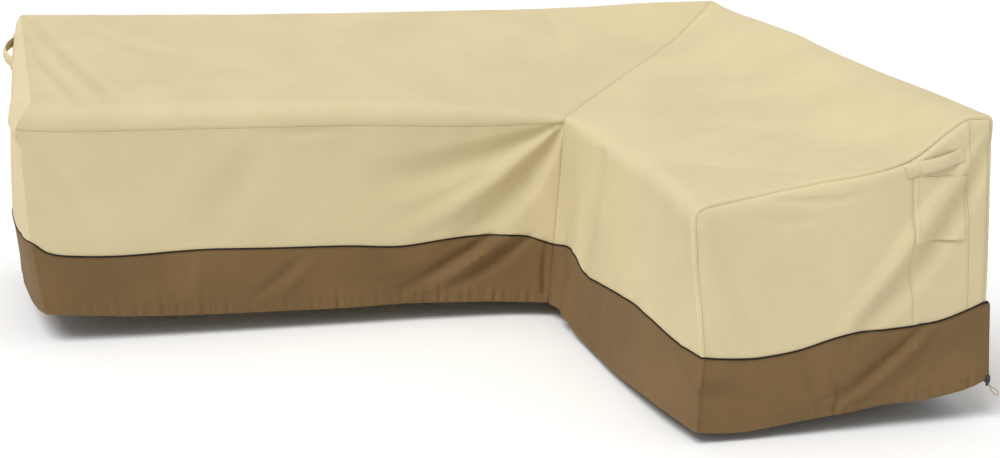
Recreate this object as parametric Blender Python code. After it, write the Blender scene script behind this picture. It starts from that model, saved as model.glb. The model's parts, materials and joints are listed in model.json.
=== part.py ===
"""Fitted sofa cover for outdoors, L-shaped, hanging as it does in use.

Layout: the outer back corner of the L is at x = 0, y = 0.  The long part runs from there to -X,
the wing runs to -Y, and z is the height above the ground.  Every panel is a sheet on one common
surface.  That surface is swept along the L through stations, and closed by a patch at each end.
All objects are children of an empty that puts the part's origin at the point under the top
where the cover is held up.
"""
import math

import bpy
import numpy as np
from mathutils import Vector
from mathutils.bvhtree import BVHTree

# Driving dimensions, in metres.
LONG = 2.605
WING = 2.110
DEPTH = 0.875
CORNER = -0.880
CLOTH = 0.002
SEAM_GAP = 0.0004
PIPING_RADIUS = 0.003
PIPING_GAP = 0.0034
PIPING_PROUD = 0.0014
SHARP_ANGLE = math.radians(40)
RIDGE_RADIUS = 0.030
RIDGE_INSET = 0.012
RIDGE_FALL_SHARE = 0.25
CROWN_DEPTH = 0.110
SHOULDER_DEPTH = 0.285
BROW_LEAN = 0.1
BAND_PROUD = 0.002
BAND_DROP = 0.004
LEFT_ROLL = {"radius": 0.004, "turns": (35.0, 0.0)}
WING_ROLL = {"radius": 0.011, "turns": (90.0, 45.0, 0.0)}
CARRY_POINT = (-0.440, -0.440, 0.770)

# Colours of the cloth and the fittings, as linear RGB.
BEIGE = (0.640, 0.550, 0.350)
BROWN = (0.205, 0.135, 0.062)
DARK_BROWN = (0.030, 0.018, 0.010)
CORD_TAN = (0.420, 0.300, 0.160)
LOCK_BLACK = (0.018, 0.018, 0.020)

# Sections across the long part.  at: the x where the section meets the front edge.  Heights:
# ridge, crown and shoulder lie on the top near the back, brow is the front edge, band the front
# seam.  The out columns say how far a line lies in front of the plain depth.
SECTION_COLUMNS = ("at", "ridge", "crown", "shoulder", "brow", "brow_out", "brow_radius", "band",
                   "pipe", "pipe_out", "hem", "hem_out")
LONG_SECTIONS = (
    (-LONG, 0.915, 0.896, 0.862, 0.762, 0.000, 0.050, 0.690, 0.333, 0.004, 0.098, 0.004),
    (-2.590, 0.914, 0.893, 0.857, 0.757, 0.000, 0.050, 0.684, 0.297, 0.005, 0.094, 0.008),
    (-2.500, 0.912, 0.890, 0.852, 0.752, 0.000, 0.050, 0.680, 0.282, 0.005, 0.088, 0.011),
    (-2.350, 0.908, 0.884, 0.844, 0.744, 0.000, 0.050, 0.679, 0.276, 0.005, 0.078, 0.014),
    (-2.100, 0.903, 0.879, 0.839, 0.742, 0.000, 0.050, 0.677, 0.283, 0.005, 0.070, 0.015),
    (-1.850, 0.902, 0.876, 0.836, 0.740, 0.000, 0.050, 0.673, 0.276, 0.005, 0.066, 0.015),
    (-1.600, 0.903, 0.876, 0.835, 0.736, 0.000, 0.050, 0.670, 0.270, 0.005, 0.063, 0.015),
    (-1.420, 0.904, 0.877, 0.832, 0.727, 0.000, 0.048, 0.662, 0.260, 0.006, 0.066, 0.015),
    (-1.250, 0.909, 0.878, 0.828, 0.715, 0.000, 0.044, 0.655, 0.276, 0.008, 0.061, 0.016),
    (-1.100, 0.919, 0.880, 0.823, 0.702, 0.001, 0.036, 0.653, 0.283, 0.012, 0.057, 0.020),
    (-0.980, 0.924, 0.880, 0.816, 0.688, 0.003, 0.026, 0.656, 0.278, 0.024, 0.052, 0.032),
    (CORNER, 0.925, 0.880, 0.809, 0.673, 0.007, 0.014, 0.658, 0.250, 0.044, 0.052, 0.057),
)

# Sections across the wing, in the same columns.  at: the y where it meets the inner edge.
WING_SECTIONS = (
    (CORNER, 0.925, 0.880, 0.809, 0.673, 0.007, 0.014, 0.658, 0.250, 0.044, 0.052, 0.057),
    (-0.960, 0.919, 0.881, 0.807, 0.677, 0.003, 0.022, 0.650, 0.266, 0.036, 0.045, 0.050),
    (-1.050, 0.916, 0.884, 0.806, 0.681, 0.001, 0.034, 0.645, 0.278, 0.030, 0.040, 0.045),
    (-1.095, 0.917, 0.886, 0.806, 0.683, 0.000, 0.040, 0.640, 0.266, 0.030, 0.030, 0.045),
    (-1.140, 0.919, 0.887, 0.806, 0.684, 0.000, 0.042, 0.640, 0.230, 0.030, 0.024, 0.045),
    (-1.320, 0.924, 0.891, 0.803, 0.686, 0.000, 0.045, 0.640, 0.243, 0.030, 0.021, 0.045),
    (-1.540, 0.912, 0.891, 0.797, 0.687, 0.000, 0.045, 0.640, 0.265, 0.030, 0.025, 0.045),
    (-1.760, 0.909, 0.892, 0.792, 0.687, 0.006, 0.045, 0.640, 0.270, 0.026, 0.036, 0.040),
    (-1.960, 0.911, 0.896, 0.789, 0.686, 0.022, 0.042, 0.638, 0.258, 0.014, 0.042, 0.026),
    (-WING, 0.909, 0.901, 0.788, 0.686, 0.038, 0.036, 0.636, 0.258, -0.004, 0.038, 0.002),
)

# The back: how far it lies in front of the back plane, and the heights of its hem and piping,
# at the far left, at the outer corner and at the wing's end.
BACK_COLUMNS = ("share", "back_pipe", "back_pipe_in", "back_hem", "back_hem_in")
LONG_BACK = ((0.0, 0.300, 0.004, 0.082, 0.012), (0.5, 0.292, -0.008, 0.074, 0.006),
             (1.0, 0.296, -0.004, 0.078, 0.004))
WING_BACK = ((0.0, 0.296, -0.004, 0.078, 0.004), (0.5, 0.286, -0.006, 0.070, 0.004),
             (0.8, 0.305, -0.006, 0.082, -0.006), (1.0, 0.358, -0.014, 0.127, -0.028))

# Lines that run along the whole sweep, from the back hem up, over the top and down to the front
# hem, with the number of steps from the line before.
LINES = (("back_hem", 0), ("back_pipe", 4), ("back_seam", 5), ("ridge_start", 1),
         ("ridge_end", 4), ("brow_start", 11), ("brow_end", 4), ("band", 1),
         ("pipe", 5), ("hem", 4))
TOP_DEPTHS = (0.100, 0.155, 0.210, 0.270, 0.350, 0.440, 0.530, 0.620, 0.710, 0.780)
STRIP_LEFT_DEPTH = 0.270
STRIP_RIGHT_DEPTH = 0.100
STRIP_LEFT_FOOT = 0.225
STRIP_RIGHT_FOOT = 0.050

# Where the end seams lie along the sweep, by line: x on the long part, y on the wing.
LEFT_END_SEAM = {"back_hem": -2.585, "back_pipe": -2.610, "ridge_start": -2.590,
                 "ridge_end": -2.584, "brow_start": -2.590, "brow_end": -2.640,
                 "pipe": -2.612, "hem": -2.575}
WING_END_SEAM = {"back_hem": -2.110, "back_pipe": -2.100, "ridge_start": -2.088,
                 "ridge_end": -2.085, "brow_start": -2.100, "brow_end": -2.104,
                 "pipe": -2.124, "hem": -2.120}

# Stations along the two arms of the L, measured where they meet the front edge.
LONG_STATIONS = (-2.590, -2.540, -2.450, -2.350, -2.240, -2.120, -2.000, -1.880, -1.760, -1.640,
                 -1.530, -1.430, -1.340, -1.260, -1.185, -1.115, -1.050, -0.990, -0.935)
WING_STATIONS = (-0.930, -0.985, -1.040, -1.090, -1.125, -1.160, -1.220, -1.300, -1.390, -1.480,
                 -1.570, -1.660, -1.750, -1.840, -1.930, -2.015)

# Piping and hem across the ends: depth from the back, and the two heights.
LEFT_END = ((0.875, 0.335, 0.100), (0.600, 0.318, 0.093), (0.300, 0.306, 0.086),
            (0.000, 0.300, 0.082))
WING_END = ((0.866, 0.258, 0.038), (0.790, 0.250, 0.030), (0.720, 0.246, 0.029),
            (0.647, 0.251, 0.037), (0.575, 0.261, 0.046), (0.500, 0.280, 0.053),
            (0.430, 0.295, 0.060), (0.318, 0.301, 0.075), (0.206, 0.307, 0.078),
            (0.130, 0.317, 0.088), (0.065, 0.336, 0.102), (0.000, 0.358, 0.127))

# How far each end bellies out, by share of the height from the piping to the top.
LEFT_BELLY = 0.062
LEFT_BELLY_SHAPE = ((0.0, 0.66), (0.30, 0.66), (0.50, 0.52), (0.66, 0.40), (0.78, 0.36),
                    (0.86, 0.24), (0.93, 0.12), (1.0, 0.0))
LEFT_HEM_SHARE = 1.10
WING_BELLY = 0.014
WING_BELLY_SHAPE = ((0.0, 0.5), (0.5, 1.0), (0.85, 0.8), (1.0, 0.0))
WING_HEM_SHARE = 0.35

# Main folds.  on: which side they lie on.  From one point to the other, in the two coordinates
# that run across that side, with the half width and the depth, below zero for a trough.
FOLD_COLUMNS = ("on", "from_u", "from_v", "to_u", "to_v", "half_width", "depth")
FOLDS = (
    ("front", -0.930, 0.655, -1.370, 0.545, 0.055, -0.016),
    ("front", -0.910, 0.600, -1.040, 0.440, 0.060, -0.022),
    ("front", -1.000, 0.460, -1.300, 0.266, 0.075, -0.020),
    ("front", -1.080, 0.545, -1.480, 0.306, 0.055, 0.012),
    ("front", -1.171, 0.255, -1.430, 0.112, 0.055, -0.014),
    ("front", -0.998, 0.267, -1.250, 0.125, 0.050, -0.014),
    ("front", -1.900, 0.600, -2.050, 0.330, 0.110, -0.007),
    ("top_long", -2.540, -0.120, -2.370, -0.760, 0.055, -0.012),
    ("top_long", -2.560, -0.500, -2.450, -0.830, 0.050, -0.010),
    ("top_long", -0.702, -0.050, -0.742, -0.370, 0.060, -0.008),
    ("inner", -1.060, 0.640, -1.110, 0.260, 0.070, 0.010),
    ("inner", -1.230, 0.600, -1.200, 0.200, 0.080, -0.012),
    ("inner", -1.700, 0.560, -1.640, 0.180, 0.110, -0.006),
    ("end", -0.060, 0.820, -0.126, 0.700, 0.050, -0.016),
    ("end", -0.126, 0.700, -0.300, 0.440, 0.070, -0.022),
    ("end", -0.300, 0.440, -0.420, 0.300, 0.060, -0.016),
    ("end", -0.163, 0.280, -0.416, 0.080, 0.060, 0.012),
    ("end", -0.820, 0.560, -0.560, 0.330, 0.120, -0.007),
    ("left", -0.300, 0.720, -0.640, 0.480, 0.090, -0.014),
    ("left", -0.640, 0.745, -0.860, 0.680, 0.055, 0.026),
    ("left", -0.100, 0.560, -0.300, 0.300, 0.090, -0.010),
)
# The two axes across each side, the axis that a fold moves and the sense that is outward.
FOLD_SIDES = {
    "front": (0, 2, 1, -1.0),
    "inner": (1, 2, 0, -1.0),
    "end": (0, 2, 1, -1.0),
    "left": (1, 2, 0, -1.0),
    "top_long": (0, 1, 2, 1.0),
}

# Handles and flap, placed on the end panels by depth from the back and height.
STRAP_WIDTH = 0.038
STRAP_THICKNESS = 0.0052
STRAP_EDGE = 0.0036
STRAP_STEPS = 14
STRAP_ARCH = 0.8
RIGHT_HANDLE = {"from": (0.284, 0.757), "to": (0.108, 0.801), "bow": 0.016,
                "sewn_start": 0.26, "sewn_end": 0.10}
LEFT_HANDLE = {"from": (0.300, 0.786), "to": (0.120, 0.846), "bow": 0.025,
               "sewn_start": 0.14, "sewn_end": 0.14}
FLAP_TOP_HEIGHT = 0.742
FLAP_LIP_HEIGHT = 0.554
FLAP_LIP_OPEN = 0.0035
FLAP_LEAN = 0.012
FLAP_STEPS = 6
FLAP_LEFT_DEPTH = 0.256
FLAP_RIGHT_DEPTH = 0.092
SEWN_CLEARANCE = 0.0004
SEATING_PASSES = 8
SEATING_SHARES = (0.0, 0.25, 0.5, 0.75, 1.0)
FAR_OUTSIDE = -4.0
LEAST_COSINE = 0.3

# Hem cord and its lock, at the wing's back corner.  The profile is radius and height, with the
# button at the bottom.  Heights and cord points are measured from the lock's centre.
LOCK_CENTRE = (0.0334, -2.112, 0.128)
LOCK_PROFILE = ((0.0028, -0.0225), (0.0035, -0.0215), (0.0035, -0.0109), (0.0080, -0.0109),
                (0.0086, -0.0090), (0.0088, -0.0030), (0.0088, 0.0040), (0.0080, 0.0080),
                (0.0060, 0.0102))
LOCK_SIDES = 14
CORD_RADIUS = 0.0015
CORD_POINTS = ((0.0038, -0.0039, -0.0112), (0.0042, -0.0044, -0.0164), (0.0054, -0.0059, -0.0225),
               (0.0077, -0.0081, -0.0294), (0.0113, -0.0106, -0.0351), (0.0153, -0.0137, -0.0399),
               (0.0199, -0.0166, -0.0444), (0.0240, -0.0175, -0.0464), (0.0286, -0.0167, -0.0463),
               (0.0320, -0.0143, -0.0440), (0.0328, -0.0114, -0.0404), (0.0307, -0.0089, -0.0370),
               (0.0256, -0.0065, -0.0329), (0.0200, -0.0043, -0.0291), (0.0138, -0.0014, -0.0258),
               (0.0084, 0.0007, -0.0216), (0.0059, 0.0012, -0.0164), (0.0054, 0.0012, -0.0112))


def spline(table, column, at):
    """Smooth value of one column at a place along a table, whose first column is the place."""
    rows = sorted(table)
    places = [row[0] for row in rows]
    values = [row[column] for row in rows]
    if at <= places[0]:
        return values[0]
    if at >= places[-1]:
        return values[-1]
    index = max(i for i in range(len(places) - 1) if places[i] <= at)

    def slope(i):
        low, high = max(i - 1, 0), min(i + 1, len(places) - 1)
        return (values[high] - values[low]) / (places[high] - places[low])

    step = places[index + 1] - places[index]
    t = (at - places[index]) / step
    return ((2 * t**3 - 3 * t**2 + 1) * values[index]
            + (t**3 - 2 * t**2 + t) * step * slope(index)
            + (3 * t**2 - 2 * t**3) * values[index + 1]
            + (t**3 - t**2) * step * slope(index + 1))


def line_index():
    """Row number of each named line."""
    index, rows = {}, 0
    for name, steps in LINES:
        rows += steps
        index[name] = rows
    return index


ROW = line_index()
ROWS = ROW["hem"] + 1
BROW_MIDDLE = (ROW["brow_start"] + ROW["brow_end"]) // 2
RIDGE_MIDDLE = (ROW["ridge_start"] + ROW["ridge_end"]) // 2


def blend(start, end, share):
    return tuple(a + (b - a) * share for a, b in zip(start, end))


def straight(start, end, steps):
    """Points after the start, up to the end, in even steps."""
    return [blend(start, end, k / steps) for k in range(1, steps + 1)]


def rounded(start, corner, end, steps):
    """Points after the start of a round corner, as a quadratic curve."""
    points = []
    for k in range(1, steps + 1):
        t = k / steps
        points.append(tuple((1 - t)**2 * a + 2 * t * (1 - t) * b + t**2 * c
                            for a, b, c in zip(start, corner, end)))
    return points


def section(front, back):
    """Outline of one section as depth and height, from the back hem to the front hem."""
    hem = (back["back_hem_in"], back["back_hem"])
    pipe = (back["back_pipe_in"], back["back_pipe"])
    ridge = (RIDGE_INSET, front["ridge"])
    ridge_start = (RIDGE_INSET, front["ridge"] - RIDGE_RADIUS)
    ridge_end = (RIDGE_INSET + RIDGE_RADIUS,
                 front["ridge"] + (front["crown"] - front["ridge"]) * RIDGE_FALL_SHARE)
    seam = (RIDGE_INSET, front["ridge"] - 2 * RIDGE_RADIUS)
    edge = DEPTH + front["brow_out"]
    radius = front["brow_radius"]
    fall = (front["shoulder"] - front["brow"]) / (edge - SHOULDER_DEPTH)
    brow_start = (edge - radius, front["brow"] + fall * radius)
    brow_end = (edge + BROW_LEAN * radius, front["brow"] - radius)
    shoulder = (SHOULDER_DEPTH, front["shoulder"])
    middle = blend(shoulder, (edge, front["brow"]), 0.5)
    top = (ridge_end, (CROWN_DEPTH, front["crown"]), shoulder, middle, brow_start)
    steps = dict(LINES)
    points = [hem]
    points += straight(hem, pipe, steps["back_pipe"])
    points += straight(pipe, seam, steps["back_seam"])
    points += straight(seam, ridge_start, steps["ridge_start"])
    points += rounded(ridge_start, ridge, ridge_end, steps["ridge_end"])
    points += [(depth, spline(top, 1, depth)) for depth in TOP_DEPTHS]
    points.append(brow_start)
    points += rounded(brow_start, (edge, front["brow"]), brow_end, steps["brow_end"])
    band = (edge + BAND_PROUD, min(front["band"], brow_end[1] - BAND_DROP))
    front_pipe = (DEPTH + front["pipe_out"], front["pipe"])
    points += straight(brow_end, band, steps["band"])
    points += straight(band, front_pipe, steps["pipe"])
    points += straight(front_pipe, (DEPTH + front["hem_out"], front["hem"]), steps["hem"])
    return points


def named(table, columns, at):
    return {name: spline(table, k + 1, at) for k, name in enumerate(columns[1:])}


def seam_place(seam, row):
    """Place of the end seam along the sweep at one row."""
    rows = sorted((ROW[name], place) for name, place in seam.items())
    return float(np.interp(row, [r for r, _ in rows], [p for _, p in rows]))


def inset(points, amount):
    """A section drawn in by an amount, square to its own outline."""
    moved = []
    for k, point in enumerate(points):
        before, after = points[max(k - 1, 0)], points[min(k + 1, len(points) - 1)]
        run, rise = after[0] - before[0], after[1] - before[1]
        size = math.hypot(run, rise)
        moved.append((point[0] + amount * rise / size, point[1] - amount * run / size))
    for k in (*range(ROW["back_seam"]), *range(ROW["band"], ROWS)):
        moved[k] = (moved[k][0], points[k][1])
    return moved


def arm(sections, backs, stations, seam, roll, along):
    """Grid of points for one arm of the L, from its rolled end to the corner.

    along is 0 for the long part, whose stations lie along x, and 1 for the wing.
    """
    end = seam_place(seam, ROW["brow_end"])
    columns = []
    corner = section(named(sections, SECTION_COLUMNS, CORNER),
                     named(backs, BACK_COLUMNS, 1.0 - along))
    first = section(named(sections, SECTION_COLUMNS, end),
                    named(backs, BACK_COLUMNS, float(along)))
    radius = roll["radius"]
    for turn in roll["turns"]:
        angle = math.radians(turn)
        drawn = inset(first, radius * (1 - math.cos(angle)))
        columns.append([(depth, seam_place(seam, row) + radius * (1 - math.sin(angle)), z)
                        for row, (depth, z) in enumerate(drawn)])
    for station in sorted(stations):
        share = (station - end) / (CORNER - end)
        back_share = share if along == 0 else 1.0 - share
        outline = section(named(sections, SECTION_COLUMNS, station),
                          named(backs, BACK_COLUMNS, back_share))
        column = []
        for row, (depth, z) in enumerate(outline):
            start = seam_place(seam, row) + radius
            column.append((depth, start + (-corner[row][0] - start) * share, z))
        columns.append(column)
    columns.append([(depth, -depth, z) for depth, z in corner])
    if along == 0:
        return [[(place, -depth, z) for depth, place, z in column] for column in columns]
    return [[(-depth, place, z) for depth, place, z in column] for column in columns]


def patch(front_side, back_side, top, bottom):
    """Grid between four sides: rows go up, columns go from the front to the back."""
    high, wide = len(front_side) - 1, len(top) - 1
    grid = []
    for j in range(high + 1):
        v = j / high
        row = []
        for i in range(wide + 1):
            u = i / wide
            across = blend(front_side[j], back_side[j], u)
            upward = blend(bottom[i], top[i], v)
            square = blend(blend(bottom[0], bottom[-1], u), blend(top[0], top[-1], u), v)
            row.append(tuple(a + b - c for a, b, c in zip(across, upward, square)))
        grid.append(row)
    return grid


def end_cap(ring, table, along, belly, shape, hem_share, feet):
    """Grids of the end panel and of the skirt below it, inside the end seam.

    along is the axis that points out of the end.  feet gives the depths at the piping of the
    columns that are seams, by row of the ring.
    """
    across = 1 - along
    top = [ring[row] for row in range(BROW_MIDDLE, RIDGE_MIDDLE - 1, -1)]
    front_side = [ring[row] for row in range(ROW["pipe"], BROW_MIDDLE - 1, -1)]
    back_side = [ring[row] for row in range(ROW["back_pipe"], RIDGE_MIDDLE + 1)]
    wide = len(top) - 1
    anchors = {0: -ring[ROW["pipe"]][across], wide: -ring[ROW["back_pipe"]][across]}
    anchors.update({BROW_MIDDLE - row: depth for row, depth in feet.items()})
    places = sorted(anchors)

    def edge(line, back_line, column, shares):
        start, end = ring[ROW[line]], ring[ROW[back_line]]
        points = []
        for i in range(wide + 1):
            depth = float(np.interp(i, places, [anchors[p] for p in places]))
            share = (depth - anchors[0]) / (anchors[wide] - anchors[0])
            point = list(blend(start, end, share))
            point[2] = spline(table, column, depth)
            point[along] -= belly * shares * math.sin(math.pi * i / wide)**0.5
            points.append(tuple(point))
        points[0], points[-1] = start, end
        return points

    pipe = edge("pipe", "back_pipe", 1, shape[0][1])
    hem = edge("hem", "back_hem", 2, shape[0][1] * hem_share)
    panel = patch(front_side, back_side, top, pipe)
    high = len(panel) - 1
    for j in range(1, high):
        share = j / high
        amount = float(np.interp(share, [s for s, _ in shape], [a for _, a in shape]))
        spill = shape[0][1] * (1 - share)
        for i in range(1, wide):
            point = list(panel[j][i])
            point[along] -= belly * (amount - spill) * math.sin(math.pi * i / wide)**0.5
            panel[j][i] = tuple(point)
    steps = ROW["hem"] - ROW["pipe"]
    skirt = [[blend(pipe[i], hem[i], j / steps) for i in range(wide + 1)]
             for j in range(steps + 1)]
    for j in range(steps + 1):
        skirt[j][0] = ring[ROW["pipe"] + j]
        skirt[j][-1] = ring[ROW["back_pipe"] - j]
    return panel, skirt


class Surface:
    """The common surface: shared points, and faces sorted by panel."""

    def __init__(self):
        self.points = []
        self.lookup = {}
        self.faces = {}
        self.sides = {}

    def point(self, position, side=None):
        key = tuple(round(c, 6) for c in position)
        if key not in self.lookup:
            self.lookup[key] = len(self.points)
            self.points.append(Vector(position))
            self.sides[self.lookup[key]] = set()
        index = self.lookup[key]
        if side:
            self.sides[index].add(side)
        return index

    def add(self, panel, grid, side=None, turned=False):
        """Add a grid, given as rows of positions, to a panel."""
        index = [[self.point(position, side) for position in row] for row in grid]
        faces = self.faces.setdefault(panel, [])
        for low, high in zip(index, index[1:]):
            for k in range(len(low) - 1):
                corners = [low[k], low[k + 1], high[k + 1], high[k]]
                if turned:
                    corners.reverse()
                faces.append(tuple(corners))

    def fold(self):
        """Press the folds into the surface."""
        for row in FOLDS:
            fold = dict(zip(FOLD_COLUMNS, row))
            u, v, axis, outward = FOLD_SIDES[fold["on"]]
            start = np.array((fold["from_u"], fold["from_v"]))
            run = np.array((fold["to_u"], fold["to_v"])) - start
            for index, sides in self.sides.items():
                if fold["on"] not in sides:
                    continue
                point = self.points[index]
                offset = np.array((point[u], point[v])) - start
                share = min(max(float(offset @ run) / float(run @ run), 0.0), 1.0)
                away = float(np.linalg.norm(offset - share * run)) / fold["half_width"]
                if away < 1.0:
                    fade = 0.35 + 0.65 * math.sin(math.pi * (0.15 + 0.7 * share))
                    rise = fold["depth"] * fade * (0.5 + 0.5 * math.cos(math.pi * away))
                    point[axis] += outward * rise

    def normals(self):
        """Outward direction at each point, from the faces round it."""
        totals = [Vector() for _ in self.points]
        for faces in self.faces.values():
            for face in faces:
                for k, index in enumerate(face):
                    here = self.points[index]
                    after = self.points[face[(k + 1) % 4]] - here
                    before = self.points[face[k - 1]] - here
                    turn = after.cross(before)
                    if turn.length > 1e-12:
                        totals[index] += turn.normalized() * after.angle(before)
        return [total.normalized() for total in totals]


def boundary(faces):
    """Edges that only one face of the panel uses, each with that face."""
    users = {}
    for face in faces:
        for k in range(4):
            edge = (face[k], face[(k + 1) % 4])
            users.setdefault(frozenset(edge), []).append((edge, face))
    return [found[0] for found in users.values() if len(found) == 1]


def edge_shifts(surface, faces, gap_of):
    """How far each edge point of a panel is drawn back into the panel."""
    pulls = {}
    for (a, b), face in boundary(faces):
        run = (surface.points[b] - surface.points[a]).normalized()
        corners = [surface.points[k] for k in face]
        face_normal = (corners[2] - corners[0]).cross(corners[3] - corners[1]).normalized()
        inward = face_normal.cross(run).normalized()
        for index in (a, b):
            pulls.setdefault(index, []).append((inward, gap_of(a, b)))
    shifts = {}
    for index, found in pulls.items():
        (first, gap_one), (second, gap_two) = found[0], found[-1]
        cosine = first.dot(second)
        if cosine > 0.94 or gap_one == gap_two == 0.0:
            middle = (first + second).normalized()
            shifts[index] = middle * max(gap_one, gap_two) / max(middle.dot(first), 0.5)
        else:
            size = 1.0 - cosine * cosine
            share_one = (gap_one - cosine * gap_two) / size
            share_two = (gap_two - cosine * gap_one) / size
            shifts[index] = first * share_one + second * share_two
    return shifts


def halves(face, points):
    """The two triangles of a four-sided face, split along its shorter diagonal."""
    a, b, c, d = face
    if (points[c] - points[a]).length <= (points[d] - points[b]).length:
        return (a, b, c), (a, c, d)
    return (a, b, d), (b, c, d)


def sheet(surface, normals, panel, gap_of):
    """Closed sheet of cloth on the panel's faces, split alike on both sides."""
    faces = surface.faces[panel]
    used = sorted({index for face in faces for index in face})
    shifts = edge_shifts(surface, faces, gap_of)
    facing = {}
    for face in faces:
        corners = [surface.points[k] for k in face]
        face_normal = (corners[2] - corners[0]).cross(corners[3] - corners[1]).normalized()
        for index in face:
            facing[index] = min(facing.get(index, 1.0), face_normal.dot(normals[index]))
    place = {index: k for k, index in enumerate(used)}
    outer, inner = [], []
    for index in used:
        middle = surface.points[index] + shifts.get(index, Vector())
        reach = normals[index] * (0.5 * CLOTH / max(facing[index], 0.6))
        outer.append(middle + reach)
        inner.append(middle - reach)
    count = len(used)
    triangles = [half for face in faces for half in halves(face, surface.points)]
    solid = [tuple(place[k] for k in half) for half in triangles]
    solid += [tuple(place[k] + count for k in reversed(half)) for half in triangles]
    for (a, b), _ in boundary(faces):
        ring = (place[b], place[a], place[a] + count, place[b] + count)
        # Both neighbours split the wall between them along the same diagonal.
        if a < b:
            solid += [(ring[0], ring[1], ring[2]), (ring[0], ring[2], ring[3])]
        else:
            solid += [(ring[0], ring[1], ring[3]), (ring[1], ring[2], ring[3])]
    return outer + inner, solid


def material(name, colour, roughness):
    made = bpy.data.materials.new(name)
    made.use_nodes = True
    shader = made.node_tree.nodes["Principled BSDF"]
    shader.inputs["Base Color"].default_value = (*colour, 1.0)
    shader.inputs["Roughness"].default_value = roughness
    return made


def make_object(name, data, parent, finish):
    thing = bpy.data.objects.new(name, data)
    bpy.context.scene.collection.objects.link(thing)
    thing.parent = parent
    data.materials.append(finish)
    return thing


def mesh_object(name, points, faces, parent, finish):
    mesh = bpy.data.meshes.new(name)
    mesh.from_pydata([tuple(p) for p in points], [], faces)
    mesh.update()
    mesh.shade_smooth()
    mesh.set_sharp_from_angle(angle=SHARP_ANGLE)
    return make_object(name, mesh, parent, finish)


def build_surface():
    surface = Surface()
    long_arm = arm(LONG_SECTIONS, LONG_BACK, LONG_STATIONS, LEFT_END_SEAM, LEFT_ROLL, 0)
    wing_arm = arm(WING_SECTIONS, WING_BACK, WING_STATIONS, WING_END_SEAM, WING_ROLL, 1)
    long_bands = (("skirt_back_long", "back_hem", "back_pipe", None),
                  ("back_long", "back_pipe", "back_seam", None),
                  ("top_long", "back_seam", "band", "top_long"),
                  ("front_long", "band", "pipe", "front"),
                  ("skirt_front", "pipe", "hem", "front"))
    wing_bands = (("skirt_back_wing", "back_hem", "back_pipe", None),
                  ("back_wing", "back_pipe", "back_seam", None),
                  ("top_wing", "back_seam", "band", None),
                  ("top_wing", "band", "pipe", "inner"),
                  ("skirt_inner", "pipe", "hem", "inner"))
    for arm_grid, bands, turned in ((long_arm, long_bands, False), (wing_arm, wing_bands, True)):
        for panel, start, end, side in bands:
            rows = slice(ROW[start], ROW[end] + 1)
            surface.add(panel, [column[rows] for column in arm_grid], side, turned)
    vent_rows = {ROW["ridge_end"] + 1 + TOP_DEPTHS.index(STRIP_LEFT_DEPTH): STRIP_LEFT_FOOT,
                 ROW["ridge_end"] + 1 + TOP_DEPTHS.index(STRIP_RIGHT_DEPTH): STRIP_RIGHT_FOOT}
    panel, skirt = end_cap(wing_arm[0], WING_END, 1, WING_BELLY, WING_BELLY_SHAPE,
                          WING_HEM_SHARE, vent_rows)
    left, right = sorted(BROW_MIDDLE - row for row in vent_rows)
    wide = BROW_MIDDLE - RIDGE_MIDDLE
    for name, start, end in (("end_wing", 0, left), ("vent_strip", left, right),
                             ("end_strip", right, wide)):
        surface.add(name, [row[start:end + 1] for row in panel], "end")
    surface.add("skirt_end", skirt, "end", True)
    panel, skirt = end_cap(long_arm[0], LEFT_END, 0, LEFT_BELLY, LEFT_BELLY_SHAPE,
                          LEFT_HEM_SHARE, {})
    surface.add("end_left", panel, "left", True)
    surface.add("skirt_left", skirt, "left")
    surface.fold()
    return surface


BODY_PANELS = ("top_long", "front_long", "back_long", "end_left", "top_wing", "back_wing",
               "end_wing", "vent_strip", "end_strip")
SKIRT_PANELS = ("skirt_front", "skirt_inner", "skirt_end", "skirt_back_wing",
                "skirt_back_long", "skirt_left")


def piping_loop(surface):
    """Point numbers of the line where body and skirt meet, in order all the way round."""
    body = {frozenset(edge) for name in BODY_PANELS for edge, _ in boundary(surface.faces[name])}
    skirt = {frozenset(edge) for name in SKIRT_PANELS for edge, _ in boundary(surface.faces[name])}
    links = {}
    for edge in body & skirt:
        a, b = tuple(edge)
        links.setdefault(a, []).append(b)
        links.setdefault(b, []).append(a)
    start = min(links)
    loop, here = [start], links[start][0]
    while here != start:
        loop.append(here)
        here = next(k for k in links[here] if k != loop[-2])
    return loop, body & skirt


def tube(name, path, radius, resolution, closed, parent, finish):
    curve = bpy.data.curves.new(name, "CURVE")
    curve.dimensions = "3D"
    curve.bevel_depth = radius
    curve.bevel_resolution = resolution
    curve.use_fill_caps = not closed
    line = curve.splines.new("POLY")
    line.points.add(len(path) - 1)
    for point, position in zip(line.points, path):
        point.co = (*position, 1.0)
    line.use_cyclic_u = closed
    return make_object(name, curve, parent, finish)


def smooth_route(points, steps):
    """A denser route on a smooth curve through the given points."""
    controls = [Vector(p) for p in points]
    route = [controls[0]]
    for k in range(len(controls) - 1):
        before, after = controls[max(k - 1, 0)], controls[min(k + 2, len(controls) - 1)]
        start, end = controls[k], controls[k + 1]
        for j in range(1, steps + 1):
            t = j / steps
            route.append(0.5 * (2 * start + (end - before) * t
                                + (2 * before - 5 * start + 4 * end - after) * t**2
                                + (3 * start - before - 3 * end + after) * t**3))
    return route


def cloth_tree(panels):
    """Tree of the panels' own triangles, to seat what is sewn on them."""
    points, triangles = [], []
    for panel in panels:
        first = len(points)
        points += [tuple(vertex.co) for vertex in panel.data.vertices]
        panel.data.calc_loop_triangles()
        triangles += [tuple(first + k for k in found.vertices)
                      for found in panel.data.loop_triangles]
    return BVHTree.FromPolygons(points, triangles, all_triangles=True)


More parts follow.
